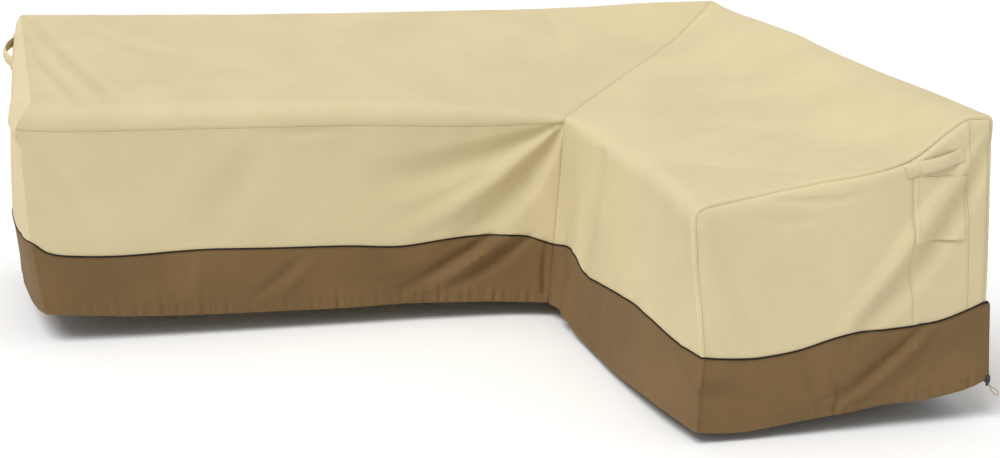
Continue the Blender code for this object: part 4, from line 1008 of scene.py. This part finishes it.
def build_panel(name, grid, normals, sense, gaps, layers, finish):
    """One panel of cloth as a closed sheet that replaces its plain solid."""
    middle, half = inward_shift(grid, gaps), normals * 0.5 * CLOTH
    return add_sheet(name, middle + half, middle - half, sense, flat_places(grid), layers, finish)


# ---------------------------------------------------------------- materials

class Graph:
    """Small helper to write a material's nodes as expressions."""

    def __init__(self, name, colour):
        self.material = bpy.data.materials.new(name)
        self.material.use_nodes = True
        self.material.diffuse_color = (*colour, 1.0)
        self.tree = self.material.node_tree
        self.shader = self.tree.nodes["Principled BSDF"]

    def put(self, socket, value):
        if isinstance(value, bpy.types.NodeSocket):
            self.tree.links.new(value, socket)
        else:
            socket.default_value = value

    def add(self, kind, inputs=(), **settings):
        made = self.tree.nodes.new(kind)
        for key, value in settings.items():
            setattr(made, key, value)
        for key, value in dict(inputs).items():
            self.put(made.inputs[key], value)
        return made

    def math(self, operation, *values):
        return self.add("ShaderNodeMath", enumerate(values), operation=operation).outputs[0]

    def times(self, *values):
        return self.math("MULTIPLY", *values)

    def plus(self, *values):
        return self.math("ADD", *values)

    def off(self, value, middle):
        """Distance of a value from a middle."""
        return self.math("ABSOLUTE", self.math("SUBTRACT", value, middle))

    def place(self):
        return self.add("ShaderNodeTexCoord").outputs["Object"]

    def flat(self):
        """The place on the flat cloth, and its two coordinates."""
        flat = self.add("ShaderNodeUVMap", (), uv_map="cloth").outputs["UV"]
        return flat, self.add("ShaderNodeSeparateXYZ", ((0, flat),)).outputs[:2]

    def weave(self, sides):
        """Two sets of yarns that cross: 1 on their crowns, -1 where they dip."""
        return self.times(*(self.math("SINE", self.times(side, math.pi / YARN))
                            for side in sides))

    def ramp(self, value, low, high, start=0.0, end=1.0):
        """Smooth change from start to end while the value goes from low to high."""
        made = self.add("ShaderNodeMapRange", (("Value", value), ("From Min", low),
                                               ("From Max", high), ("To Min", start),
                                               ("To Max", end)), interpolation_type="SMOOTHSTEP")
        return made.outputs["Result"]

    def mix(self, share, first, second):
        made = self.add("ShaderNodeMix", (), data_type="RGBA")
        for socket, value in ((made.inputs[0], share), (made.inputs[6], first),
                              (made.inputs[7], second)):
            self.put(socket, (*value, 1.0) if isinstance(value, tuple) else value)
        return made.outputs[2]

    def noise(self, place, scale, detail=2.0):
        made = self.add("ShaderNodeTexNoise", (("Vector", place), ("Scale", scale),
                                               ("Detail", detail)))
        return made.outputs["Fac"]

    def attribute(self, name):
        return self.add("ShaderNodeAttribute", (), attribute_name=name).outputs["Fac"]

    def bump(self, height, strength=1.0):
        """Relief from a height in metres."""
        made = self.add("ShaderNodeBump", (("Strength", strength), ("Distance", 1.0),
                                           ("Height", height)))
        self.tree.links.new(made.outputs["Normal"], self.shader.inputs["Normal"])

    def finish(self, colour, roughness, **constants):
        self.put(self.shader.inputs["Base Color"], colour)
        self.put(self.shader.inputs["Roughness"], roughness)
        for key, value in constants.items():
            self.shader.inputs[key.replace("_", " ")].default_value = value
        return self.material


def shade(colour, factor):
    return tuple(channel * factor for channel in colour)


STITCH_AT = 0.006
STITCH_HALF = 0.00055
STITCH_PITCH = 0.0042
SECOND_ROW = 0.0065
YARN = 0.0006
# Scales of the noise in the materials, from broad mottling to single fibres.
MOTTLE_SCALE = 3.2
GRIME_SCALE = 14.0
CRUMPLE_SCALE = 38.0
RUB_SCALE = 60.0
SMEAR_SCALE = 160.0
SLUB_SCALE = 420.0
FIBRE_SCALE = 1800.0
GRAIN_SCALE = 2600.0
# Heights of the relief that is bump.
WEAVE_HEIGHT = 0.00007
CRUMPLE_HEIGHT = 0.0010
STITCH_HEIGHT = 0.00025
PULL_DEPTH = 0.00012
TAPE_HEIGHT = 0.00006
RUB_HEIGHT = 0.0003
FIBRE_HEIGHT = 0.00012
GRAIN_HEIGHT = 0.00006


def cloth_material(name, colour, faded, thread, mottling):
    """Coated woven polyester: plain weave, soft mottling, sewn lines with painted shade in their grooves
    and dents, worn edges.
    """
    graph = Graph(name, colour)
    flat, across = graph.flat()
    place = graph.place()
    weave = graph.weave(across)
    slub = graph.noise(flat, SLUB_SCALE, 1.0)
    mottle = graph.noise(place, MOTTLE_SCALE, 3.0)
    grime = graph.noise(place, GRIME_SCALE, 4.0)
    crumple = graph.noise(place, CRUMPLE_SCALE, 3.0)

    seam, run, up, wear_and_shade = (graph.attribute(key) for key in ("seam", "run", "up", "wear_and_shade"))
    dash = graph.off(graph.math("FRACT", graph.math("DIVIDE", run, STITCH_PITCH)), 0.5)
    dash = graph.ramp(dash, 0.30, 0.40, 1.0, 0.0)
    line = graph.math("MINIMUM", graph.math("MINIMUM", graph.off(seam, STITCH_AT),
                                            graph.off(up, CASING)),
                      graph.off(up, CASING - SECOND_ROW))
    stitch = graph.times(graph.ramp(line, STITCH_HALF, 1.7 * STITCH_HALF, 1.0, 0.0), dash)
    # Dent along each stitched line and the casing: bump depth, and painted shade that darkens the cloth
    # in the dent.
    dent_and_shade = graph.ramp(line, 0.0, 0.0022, 1.0, 0.0)
    # Painted shade: the cloth is darkened within about 2 mm of each seam and of the piping, in the seam's
    # groove.
    painted_seam_shade = graph.ramp(seam, 0.0004, 0.0022, 1.0, 0.0)

    tone = graph.mix(graph.ramp(mottle, 0.30, 0.70), shade(colour, 1 - mottling),
                     shade(colour, 1 + mottling))
    for share, other in (
            (graph.ramp(grime, 0.52, 0.80, 0.0, 0.10), shade(colour, 0.80)),
            (graph.plus(graph.times(weave, 0.12), graph.times(slub, 0.14)), shade(faded, 1.05)),
            (graph.times(wear_and_shade, graph.ramp(grime, 0.35, 0.62, 0.12, 0.5)), faded),
            # Painted shade in the seam grooves.
            (graph.times(painted_seam_shade, 0.32), shade(colour, 0.45)),
            # Painted shade in the stitch dents.
            (graph.times(dent_and_shade, 0.04), shade(colour, 0.55)),
            (graph.times(stitch, 0.22), thread)):
        tone = graph.mix(share, tone, other)
    relief = graph.plus(graph.times(weave, WEAVE_HEIGHT), graph.times(crumple, CRUMPLE_HEIGHT))
    relief = graph.plus(relief, graph.times(stitch, STITCH_HEIGHT))
    graph.bump(graph.math("SUBTRACT", relief, graph.times(dent_and_shade, PULL_DEPTH)))
    return graph.finish(tone, graph.plus(0.74, graph.times(grime, 0.18)), Sheen_Weight=0.03,
                        Sheen_Roughness=0.5, Specular_IOR_Level=0.20)


def piping_material():
    """Bias tape sewn round a cord: yarns that run aslant, rubbed lighter in patches."""
    graph = Graph("dark_piping", DARK_BROWN)
    flat, across = graph.flat()
    weave = graph.weave([graph.math(kind, *across) for kind in ("ADD", "SUBTRACT")])
    rub = graph.noise(flat, RUB_SCALE, 3.0)
    worn = graph.times(graph.attribute("wear_and_shade"), graph.ramp(rub, 0.40, 0.70, 0.05, 0.35))
    tone = graph.mix(graph.plus(0.5, graph.times(weave, 0.3)), shade(DARK_BROWN, 0.8),
                     shade(DARK_BROWN, 1.25))
    graph.bump(graph.plus(graph.times(weave, TAPE_HEIGHT), graph.times(rub, RUB_HEIGHT)))
    return graph.finish(graph.mix(worn, tone, WORN_BROWN), graph.ramp(rub, 0.2, 0.8, 0.62, 0.82),
                        Sheen_Weight=0.0, Specular_IOR_Level=0.2)


def cord_material():
    """Braided cord: two yarn directions, with painted shade in the hollows between the strands and
    painted light on their crowns.
    """
    graph = Graph("tan_cord", CORD_TAN)
    fibre = graph.noise(graph.flat()[0], FIBRE_SCALE, 2.0)
    # Painted shade and painted light: the braid's hollows are darkened and its crowns lightened, by the
    # strand pattern from build_cord.
    tone = graph.mix(graph.attribute("wear_and_shade"), shade(CORD_TAN, 0.45), shade(CORD_TAN, 1.15))
    graph.bump(graph.times(fibre, FIBRE_HEIGHT))
    return graph.finish(graph.mix(graph.times(fibre, 0.35), tone, PALE_TAN),
                        graph.ramp(fibre, 0.2, 0.8, 0.70, 0.90), Sheen_Weight=0.2,
                        Specular_IOR_Level=0.25)


def plastic_material():
    """Moulded plastic: fine grain, duller where hands touch it, rubbed edges."""
    graph = Graph("black_plastic", LOCK_BLACK)
    place = graph.place()
    smear = graph.noise(place, SMEAR_SCALE, 3.0)
    worn = graph.times(graph.attribute("wear_and_shade"), graph.ramp(smear, 0.4, 0.7, 0.2, 0.8))
    graph.bump(graph.times(graph.noise(place, GRAIN_SCALE, 2.0), GRAIN_HEIGHT))
    return graph.finish(graph.mix(worn, LOCK_BLACK, WORN_BLACK),
                        graph.ramp(smear, 0.3, 0.7, 0.34, 0.56), Specular_IOR_Level=0.5)


# ---------------------------------------------------------------- piping, cord and lock

def tube_grid(path, radii, closed):
    """Points of a tube: for each path point a ring, with a frame carried along the path."""
    steps = np.roll(path, -1, axis=0) - np.roll(path, 1, axis=0)
    if not closed:
        steps[0], steps[-1] = path[1] - path[0], path[-1] - path[-2]
    tangents = steps / np.linalg.norm(steps, axis=1, keepdims=True)
    normal = np.cross(tangents[0], (0.0, 0.0, 1.0))
    rings = []
    angles = np.linspace(0.0, 2 * np.pi, radii.shape[1], endpoint=False)
    for point, tangent, radius in zip(path, tangents, radii):
        normal = normal - tangent * (normal @ tangent)
        normal /= np.linalg.norm(normal)
        other = np.cross(tangent, normal)
        rings.append(point + radius[:, None] * (np.cos(angles)[:, None] * normal
                                                + np.sin(angles)[:, None] * other))
    return np.array(rings)


def add_tube(name, path, radii, closed, wear_and_shade, finish):
    """A tube along a path, with a value for each of its points: worn lightness on the piping, painted
    shade and light of the braid on the cord.
    """
    count, sides = radii.shape
    faces = [(j * sides + k, j * sides + (k + 1) % sides,
              (j + 1) % count * sides + (k + 1) % sides, (j + 1) % count * sides + k)
             for j in range(count if closed else count - 1) for k in range(sides)]
    if not closed:
        faces += [tuple(range(sides - 1, -1, -1)),
                  tuple((count - 1) * sides + k for k in range(sides))]
    turn = np.linspace(0.0, 2 * np.pi * float(radii.mean()), sides, endpoint=False)
    uvs = np.stack(np.meshgrid(lengths(path), turn, indexing="ij"), axis=-1).reshape(-1, 2)
    points = tube_grid(path, radii, closed).reshape(-1, 3)
    return add_piece(name, points, faces, uvs, {"wear_and_shade": wear_and_shade}, finish)


PIPING_SIDES = 10
PIPING_STEP = 0.0022
PIPING_WAVE = 0.03
PIPING_WAVE_LENGTH = 0.019
PIPING_WEAR = 0.2


def build_piping(grids, normals, finish):
    """Piping all round, on the line where body and skirt meet."""
    path, outward = [], []
    for name, order in (("skirt_front", 1), ("skirt_inner", -1), ("skirt_end", 1),
                        ("skirt_back_wing", 1), ("skirt_back_long", -1), ("skirt_left", -1)):
        path += list(grids[name][::order, 0][:-1])
        outward += list(normals[name][::order, 0][:-1])
    path = np.array(path)
    keep = np.linalg.norm(np.roll(path, -1, axis=0) - path, axis=1) > PIPING_STEP
    path = (path + np.array(outward) * PIPING_PROUD)[keep]
    for _ in range(2):
        path = 0.5 * path + 0.25 * (np.roll(path, 1, axis=0) + np.roll(path, -1, axis=0))
    radii = np.full((len(path), PIPING_SIDES), PIPING_RADIUS)
    wave = np.sin(lengths(path) * 2 * np.pi / PIPING_WAVE_LENGTH)
    radii *= 1 + PIPING_WAVE * wave[:, None]
    return add_tube("piping_cord", path, radii, True, np.full(radii.shape, PIPING_WEAR), finish)


def smooth_route(controls, steps):
    """A denser route on a smooth curve through the given points."""
    route = [controls[0]]
    for k in range(len(controls) - 1):
        before, after = controls[max(k - 1, 0)], controls[min(k + 2, len(controls) - 1)]
        start, end = controls[k], controls[k + 1]
        for j in range(1, steps + 1):
            t = j / steps
            route.append(0.5 * (2 * start + (end - before) * t
                                + (2 * before - 5 * start + 4 * end - after) * t**2
                                + (3 * start - before - 3 * end + after) * t**3))
    return np.array(route)


CORD_STEPS = 9
BRAID_SIDES = 16
BRAID_STRANDS = 4
BRAID_PITCH = 0.0075
BRAID_DEPTH = 0.05


def build_cord(finish):
    """Loop of braided hem cord that comes out of the lock and goes back into it."""
    path = LOCK_CENTRE + smooth_route(np.array(CORD_POINTS), CORD_STEPS)
    run = lengths(path)
    turn = np.linspace(0.0, 2 * np.pi, BRAID_SIDES, endpoint=False)
    along = run[:, None] * 2 * np.pi / BRAID_PITCH
    strands = (np.abs(np.sin(0.5 * (BRAID_STRANDS * turn - along)))
               * np.abs(np.sin(0.5 * (BRAID_STRANDS * turn + along))))
    radii = CORD_RADIUS * (1 - BRAID_DEPTH + 2 * BRAID_DEPTH * strands)
    # The strand pattern also paints shade into the braid's hollows and light onto its crowns, through the
    # cord's material.
    piece = add_tube("hem_cord", path, radii, False, strands, finish)
    return piece, path - CARRY_POINT, run[-1]


# Cord lock: radius, height, 1 where it has grip ribs, and how worn it is.
LOCK_PROFILE = ((0.0000, -0.0225, 0, 0.1), (0.0024, -0.0225, 0, 0.4), (0.0031, -0.0222, 0, 1.0),
                (0.0035, -0.0214, 0, 0.8), (0.0035, -0.0160, 0, 0.1), (0.0035, -0.0112, 0, 0.0),
                (0.0037, -0.0110, 0, 0.0), (0.0072, -0.0109, 0, 0.2), (0.0078, -0.0107, 0, 0.8),
                (0.0082, -0.0101, 0, 1.0), (0.0085, -0.0090, 0, 0.6), (0.0086, -0.0080, 1, 0.2),
                (0.0087, -0.0055, 1, 0.2), (0.0088, -0.0030, 1, 0.2), (0.0088, 0.0005, 1, 0.2),
                (0.0088, 0.0032, 1, 0.2), (0.0088, 0.0042, 0, 0.7), (0.0086, 0.0052, 0, 0.9),
                (0.0083, 0.0060, 0, 0.4), (0.0081, 0.0068, 0, 0.3), (0.0080, 0.0080, 0, 0.7),
                (0.0075, 0.0091, 0, 1.0), (0.0067, 0.0099, 0, 0.6), (0.0058, 0.0102, 0, 0.2),
                (0.0030, 0.0103, 0, 0.1), (0.0000, 0.0103, 0, 0.1))
LOCK_SIDES = 72
LOCK_RIBS = 18
RIB_DEPTH = 0.00035
RIB_WEAR = 0.5


def build_lock(finish):
    """Cord lock: a turned barrel with grip ribs and a push button at the bottom."""
    angles = np.linspace(0.0, 2 * np.pi, LOCK_SIDES, endpoint=False)
    ribs = smooth_step(-0.2, 0.5, np.cos(LOCK_RIBS * angles))
    points, wear_and_shade = [], []
    for radius, z, ribbed, worn in LOCK_PROFILE[1:-1]:
        drawn = radius - ribbed * RIB_DEPTH * (1 - ribs)
        points += list(np.stack((drawn * np.cos(angles), drawn * np.sin(angles),
                                 np.full(LOCK_SIDES, z)), axis=1))
        wear_and_shade += list(worn + RIB_WEAR * ribbed * ribs)

    def around(start):
        """Pairs of neighbours in the ring that starts at a point."""
        return [(start + k, start + (k + 1) % LOCK_SIDES) for k in range(LOCK_SIDES)]

    count = len(points)
    faces = [(a, b, b + LOCK_SIDES, a + LOCK_SIDES)
             for low in range(0, count - LOCK_SIDES, LOCK_SIDES) for a, b in around(low)]
    faces += [(b, a, count) for a, b in around(0)]
    faces += [(a, b, count + 1) for a, b in around(count - LOCK_SIDES)]
    points += [np.array((0.0, 0.0, LOCK_PROFILE[end][1])) for end in (0, -1)]
    wear_and_shade += [LOCK_PROFILE[end][3] for end in (0, -1)]
    return add_piece("lock_barrel", np.array(points) + LOCK_CENTRE, faces, None,
                     {"wear_and_shade": wear_and_shade}, finish)


# ---------------------------------------------------------------- handles and flap

# A place along an end's axis that lies outside the whole cover.
FAR_OUT = -4.0


def outer_tree(grids, normals, senses, names):
    """Tree of the outer faces of some grids, to seat what is sewn on them."""
    points, faces = [], []
    for name in names:
        found = grid_faces(*grids[name].shape[:2], senses[name]) + len(points)
        points += (grids[name] + normals[name] * 0.5 * CLOTH).reshape(-1, 3).tolist()
        faces += found.tolist()
    return BVHTree.FromPolygons(points, faces)


def seat(tree, along, depths, heights):
    """Outer face of an end panel at an array of depths from the back and heights."""
    direction = Vector((1 - along, along, 0.0))
    points = np.zeros((*depths.shape, 3))
    points[..., 1 - along], points[..., along], points[..., 2] = -depths, FAR_OUT, heights
    places = np.zeros(depths.shape)
    for index in np.ndindex(depths.shape):
        places[index] = tree.ray_cast(Vector(points[index]), direction)[0][along]
    padded = np.pad(places, 1, mode="edge")
    points[..., along] = np.min([padded[i:i + places.shape[0], j:j + places.shape[1]]
                                 for i in range(3) for j in range(3)], axis=0)
    return points


def nearest_segment(places, segments):
    """Distance to the nearest of some flat segments, and the run along it."""
    best, runs = np.full(places.shape[:-1], 1.0), np.zeros(places.shape[:-1])
    for start, end in segments:
        start, step = np.array(start), np.array(end) - np.array(start)
        share = ((places - start) @ step / (step @ step)).clip(0.0, 1.0)
        away = np.linalg.norm(places - start - share[..., None] * step, axis=-1)
        closer = away < best
        best = np.where(closer, away, best)
        runs = np.where(closer, share * np.linalg.norm(step), runs)
    return best, runs


SEWN_CLEARANCE = 0.0005
STRAP_ROUNDS = 84
STRAP_COLUMNS = 21
STRAP_HEM = 0.0045
STRAP_EDGE_THINNING = 0.0012
STRAP_END_ROUNDING = 0.003
STRAP_END_SHARE = 0.45
STRAP_LEAST = 0.0012
STRAP_WEAR = 0.7
BOX_INSET = 0.004
STITCH_DENT = 0.0012
STITCH_DENT_WIDTH = 0.0016


def build_handle(name, tree, spec, along, finish):
    """Padded strap sewn down in a crossed box at both ends and bowed out in between."""
    start, end = np.array(spec["from"]), np.array(spec["to"])
    run = end - start
    length = np.linalg.norm(run)
    side = np.array((-run[1], run[0])) / length
    side *= 0.5 * STRAP_WIDTH * np.sign(side[1])
    shares = np.linspace(0.0, 1.0, STRAP_ROUNDS)
    edge = np.sin(np.linspace(-0.5 * np.pi, 0.5 * np.pi, STRAP_COLUMNS))
    spots = start + run * shares[:, None, None] + side * edge[None, :, None]
    inner = seat(tree, along, spots[..., 0], spots[..., 1])
    free = (shares - spec["sewn_start"]) / (1.0 - spec["sewn_start"] - spec["sewn_end"])
    rise = spec["bow"] * np.sin(np.pi * free.clip(0.0, 1.0))**STRAP_ARCH
    inner[..., along] -= rise[:, None] + SEWN_CLEARANCE
    flat = np.stack(np.meshgrid(shares * length, edge * 0.5 * STRAP_WIDTH, indexing="ij"),
                    axis=-1)
    margin = 0.5 * STRAP_WIDTH - STRAP_HEM
    segments = [((0.0, -margin), (length, -margin)), ((0.0, margin), (length, margin))]
    for low, high in ((BOX_INSET, spec["sewn_start"] * length - BOX_INSET),
                      ((1 - spec["sewn_end"]) * length + BOX_INSET, length - BOX_INSET)):
        segments += [((low, -margin), (low, margin)), ((high, -margin), (high, margin)),
                     ((low, -margin), (high, margin)), ((low, margin), (high, -margin))]
    away, place = nearest_segment(flat, segments)
    from_end = np.minimum(flat[..., 0], length - flat[..., 0]) / STRAP_END_ROUNDING
    ends = STRAP_END_SHARE + (1 - STRAP_END_SHARE) * np.sqrt(
        (1 - (1 - from_end).clip(0.0)**2).clip(0.0))
    thick = ((STRAP_THICKNESS - STRAP_EDGE_THINNING * edge**2)
             * np.sqrt((1 - np.abs(edge)**6).clip(0.0)) * ends)
    thick -= STITCH_DENT * np.exp(-(away / STITCH_DENT_WIDTH)**2)
    outer = inner.copy()
    outer[..., along] -= np.maximum(thick, STRAP_LEAST)
    ones = np.ones_like(away)
    layers = {"seam": STITCH_AT + away, "run": place, "up": ones,
              "wear_and_shade": STRAP_WEAR * np.abs(edge)**4 * ones}
    return add_sheet(name, outer, inner, 2 * along - 1, flat, layers, finish), length


FLAP_STEPS = 56
FLAP_HEM = 0.010
FLAP_HEM_STITCH = 0.008
FLAP_TOP_STITCH = 0.004
FLAP_HEM_RISE = 0.0014
FLAP_THINNER = 0.0004
FLAP_WAVE = 0.25
FLAP_WAVE_RATE = 9.0
FLAP_WAVE_PHASE = 0.6
FLAP_STITCH_DENT = 0.0005
FLAP_DENT_WIDTH = 0.0012
FLAP_WEAR_WIDTH = 0.006


def build_flap(tree, finish):
    """Flap over the vent, hemmed at its sides and lip, a little open at the lip."""
    steps = np.linspace(0.0, 1.0, FLAP_STEPS)
    across, down = np.meshgrid(steps, steps, indexing="ij")
    left = FLAP_LEFT_DEPTH - FLAP_LEAN * down
    right = FLAP_RIGHT_DEPTH - FLAP_LEAN * down
    depths = left + (right - left) * across
    heights = FLAP_TOP_HEIGHT + (FLAP_LIP_HEIGHT - FLAP_TOP_HEIGHT) * down
    inner = seat(tree, 1, depths, heights)
    wide, high = FLAP_LEFT_DEPTH - FLAP_RIGHT_DEPTH, FLAP_TOP_HEIGHT - FLAP_LIP_HEIGHT
    flat = np.stack((across * wide, down * high), axis=-1)
    wave = 1 + FLAP_WAVE * np.sin(across * FLAP_WAVE_RATE + FLAP_WAVE_PHASE)
    lift = FLAP_LIP_OPEN * (down**2 + 0.5 * down**12) * np.sin(np.pi * across).clip(0.0)**0.7
    inner[..., 1] -= SEWN_CLEARANCE + lift * wave
    sides, top = np.minimum(flat[..., 0], wide - flat[..., 0]), flat[..., 1]
    lip = high - top
    border = np.minimum(sides, lip)
    rounded_edge = smooth_step(-0.0006, 0.0012, np.minimum(border, top))
    hem = FLAP_HEM_RISE * (1 - smooth_step(FLAP_HEM - 0.001, FLAP_HEM + 0.0008, border))
    stitch = np.minimum(abs(border - FLAP_HEM_STITCH), abs(top - FLAP_TOP_STITCH))
    outer = inner.copy()
    outer[..., 1] -= ((CLOTH - FLAP_THINNER + hem) * (0.5 + 0.5 * rounded_edge)
                      - FLAP_STITCH_DENT * np.exp(-(stitch / FLAP_DENT_WIDTH)**2))
    layers = {"seam": STITCH_AT + stitch, "run": np.where(sides < lip, top, flat[..., 0]),
              "up": np.ones_like(top), "wear_and_shade": 1 - smooth_step(0.0, FLAP_WEAR_WIDTH, border)}
    return add_sheet("flap_cloth", outer, inner, 1, flat, layers, finish), (wide, high)


# ---------------------------------------------------------------- camera, floor and light

CAMERA_PLACE = np.array((-2.807, -6.697, 1.972))
CAMERA_YAW = math.radians(16.4)
CAMERA_PITCH = math.radians(15.4)
CAMERA_ROLL = math.radians(1.55)
CAMERA_LENS = 68.04
SENSOR_WIDTH = 36.0


def build_camera():
    data = bpy.data.cameras.new("view_camera")
    data.lens, data.sensor_width, data.sensor_fit = CAMERA_LENS, SENSOR_WIDTH, "HORIZONTAL"
    camera = add_object("view_camera", data)
    forward = np.array((math.sin(CAMERA_YAW) * math.cos(CAMERA_PITCH),
                        math.cos(CAMERA_YAW) * math.cos(CAMERA_PITCH), -math.sin(CAMERA_PITCH)))
    level = np.array((math.cos(CAMERA_YAW), -math.sin(CAMERA_YAW), 0.0))
    upright = np.cross(level, forward)
    right = math.cos(CAMERA_ROLL) * level + math.sin(CAMERA_ROLL) * upright
    up = math.cos(CAMERA_ROLL) * upright - math.sin(CAMERA_ROLL) * level
    matrix = Matrix.Identity(4)
    for row in range(3):
        matrix[row][:3] = (right[row], up[row], -forward[row])
        matrix[row][3] = (CAMERA_PLACE - CARRY_POINT)[row]
    camera.matrix_world = matrix
    bpy.context.scene.camera = camera


FLOOR_SIZE = 60.0
FLOOR_TONES = ((0.95, 0.95, 0.95), (0.97, 0.97, 0.97))
WORLD_LIGHT = 0.60
# The lamp: its strength, the angle that softens its shadow, and where its light comes from.
KEY_LIGHT = 1.98
KEY_ANGLE = math.radians(36.0)
KEY_SOURCE = (-0.46, -0.31, 0.84)


def build_stage():
    mesh = bpy.data.meshes.new("floor")
    half, low = FLOOR_SIZE / 2, -CARRY_POINT[2]
    mesh.from_pydata([(-half, -half, low), (half, -half, low), (half, half, low),
                      (-half, half, low)], [], [(0, 1, 2, 3)])
    graph = Graph("pale_floor", (0.93, 0.93, 0.93))
    tone = graph.mix(graph.noise(graph.place(), 1.5), *FLOOR_TONES)
    add_object("floor", mesh, graph.finish(tone, 0.9, Specular_IOR_Level=0.1))
    world = bpy.data.worlds.new("pale_light")
    world.use_nodes = True
    background = world.node_tree.nodes["Background"]
    background.inputs["Color"].default_value = (1.0, 1.0, 1.0, 1.0)
    background.inputs["Strength"].default_value = WORLD_LIGHT
    bpy.context.scene.world = world
    data = bpy.data.lights.new("key", "SUN")
    data.energy, data.angle = KEY_LIGHT, KEY_ANGLE
    lamp = add_object("key", data)
    lamp.rotation_mode = "QUATERNION"
    lamp.rotation_quaternion = Vector(KEY_SOURCE).to_track_quat("Z", "Y")
    bpy.context.scene.view_settings.view_transform = "Standard"


# ---------------------------------------------------------------- the whole cover

# How far the edge of a panel is drawn in: at a seam, at the piping and at the free hem.
SEWN = 0.5 * SEAM_GAP
PIPED = 0.0030
FREE = 0.0


SIDE_WEAR_ROWS = 1.4
HEM_WEAR = 0.8
HEM_WEAR_HEIGHT = 0.006
TOP_WEAR_SHARE = 0.08


def edge_wear(name, grid):
    """Where the cloth rubs and fades most: along the raised edges, and along the hem."""
    if name in SKIRT_GRIDS:
        down = np.linalg.norm(grid[:, -1:] - grid, axis=-1)
        return HEM_WEAR * np.exp(-(down / HEM_WEAR_HEIGHT)**2)
    if name in ("long", "wing"):
        wear_and_shade = sum(np.exp(-((BODY_ROWS - row) / SIDE_WEAR_ROWS)**2)
                   for row in (RIDGE_MIDDLE, BROW_MIDDLE))
    else:
        wear_and_shade = np.exp(-((UP - 1.0) / TOP_WEAR_SHARE)**2)
    return wear_and_shade * np.ones(grid.shape[:2])


def declare(piece, node):
    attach(piece, "root")
    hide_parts(node)


def main():
    build_camera()
    build_stage()
    beige = cloth_material("beige_cloth", BEIGE, FADED_BEIGE, BEIGE_THREAD, BEIGE_MOTTLING)
    brown = cloth_material("brown_cloth", BROWN, FADED_BROWN, BROWN_THREAD, BROWN_MOTTLING)
    cord, cord_path, cord_length = build_cord(cord_material())
    lock = build_lock(plastic_material())

    grids = build_grids()
    groups = {names: shared_points(grids, names) for names in (BODY_GRIDS, SKIRT_GRIDS)}
    fold_grids(grids)
    senses = find_senses(grids)

    seams = Lines(seam_lines(grids))
    piping_line = Lines([grids[name][:, 0] for name in SKIRT_GRIDS])
    layers = {}
    for names in (BODY_GRIDS, SKIRT_GRIDS):
        normals = grid_normals(grids, groups[names], senses)
        for name in names:
            grid = grids[name]
            away, run = seams.measure(grid)
            away = away + FLAT_AWAY * flattened(grid)
            piped_away, piped_run = piping_line.measure(grid)
            rise = (uneven(grid) * smooth_step(0.0, UNEVEN_FROM_PIPING, piped_away)
                    + seam_profile(away, run))
            rise -= PIPING_DIP * np.exp(-(piped_away / PIPING_DIP_WIDTH)**2)
            up = np.ones(grid.shape[:2])
            if name in SKIRT_GRIDS:
                relief, up = hem_relief(name, grid)
                rise += relief
            closer = piped_away < away
            layers[name] = {"seam": np.where(closer, piped_away, away),
                            "run": np.where(closer, piped_run, run), "up": up,
                            "wear_and_shade": edge_wear(name, grid)}
            grids[name] = grid + normals[name] * rise[..., None]
    normals = {}
    for names in (BODY_GRIDS, SKIRT_GRIDS):
        normals.update(grid_normals(grids, groups[names], senses))

    (left, right), whole = VENT_COLUMNS, slice(None)
    above, below = slice(BACK_ROW, BAND_ROW + 1), slice(0, BACK_ROW + 1)
    sewn, piped = (SEWN,) * 4, (SEWN, SEWN, PIPED, SEWN)
    # Node, grid, its columns and rows, how far the first and last column and row are drawn in.
    panels = (
        ("top_long", "long", whole, above, sewn, "draped"),
        ("front_long", "long", whole, slice(BAND_ROW, None), (SEWN, SEWN, SEWN, PIPED), "hung"),
        ("back_long", "long", whole, below, piped, "hung"),
        ("top_wing", "wing", whole, slice(BACK_ROW, None), (SEWN, SEWN, SEWN, PIPED), "draped"),
        ("back_wing", "wing", whole, below, piped, "hung"),
        ("end_wing", "end", slice(0, left + 1), whole, piped, "hung"),
        ("vent_strip", "end", slice(left, right + 1), whole, piped, "hung"),
        ("end_strip", "end", slice(right, None), whole, piped, "hung"),
        ("end_left", "left", whole, whole, piped, "hung"),
        *((name, name, whole, whole, (SEWN, SEWN, PIPED, FREE), "hung") for name in SKIRT_GRIDS))
    for node, name, columns, rows, gaps, held in panels:
        grid = grids[name][columns, rows]
        finish, slot = (brown, "brown_cloth") if name in SKIRT_GRIDS else (beige, "beige_cloth")
        piece = build_panel(f"{node}_cloth", grid, normals[name][columns, rows], senses[name],
                            gaps, {key: values[columns, rows]
                                   for key, values in layers[name].items()}, finish)
        declare(piece, node)
        width, length = (float(size) for size in flat_places(grid).max(axis=(0, 1)))

    piping = build_piping(grids, normals, piping_material())
    declare(piping, "piping")
    end_tree = outer_tree(grids, normals, senses, ("end", "wing"))
    left_tree = outer_tree(grids, normals, senses, ("left", "long"))
    for node, tree, spec, along in (("handle_right", end_tree, RIGHT_HANDLE, 1),
                                    ("handle_left", left_tree, LEFT_HANDLE, 0)):
        handle, length = build_handle(f"{node}_strap", tree, spec, along, beige)
        declare(handle, node)
    flap, size = build_flap(end_tree, beige)
    declare(flap, "vent_flap")
    declare(lock, "cord_lock")
    declare(cord, "cord_loop")



main()
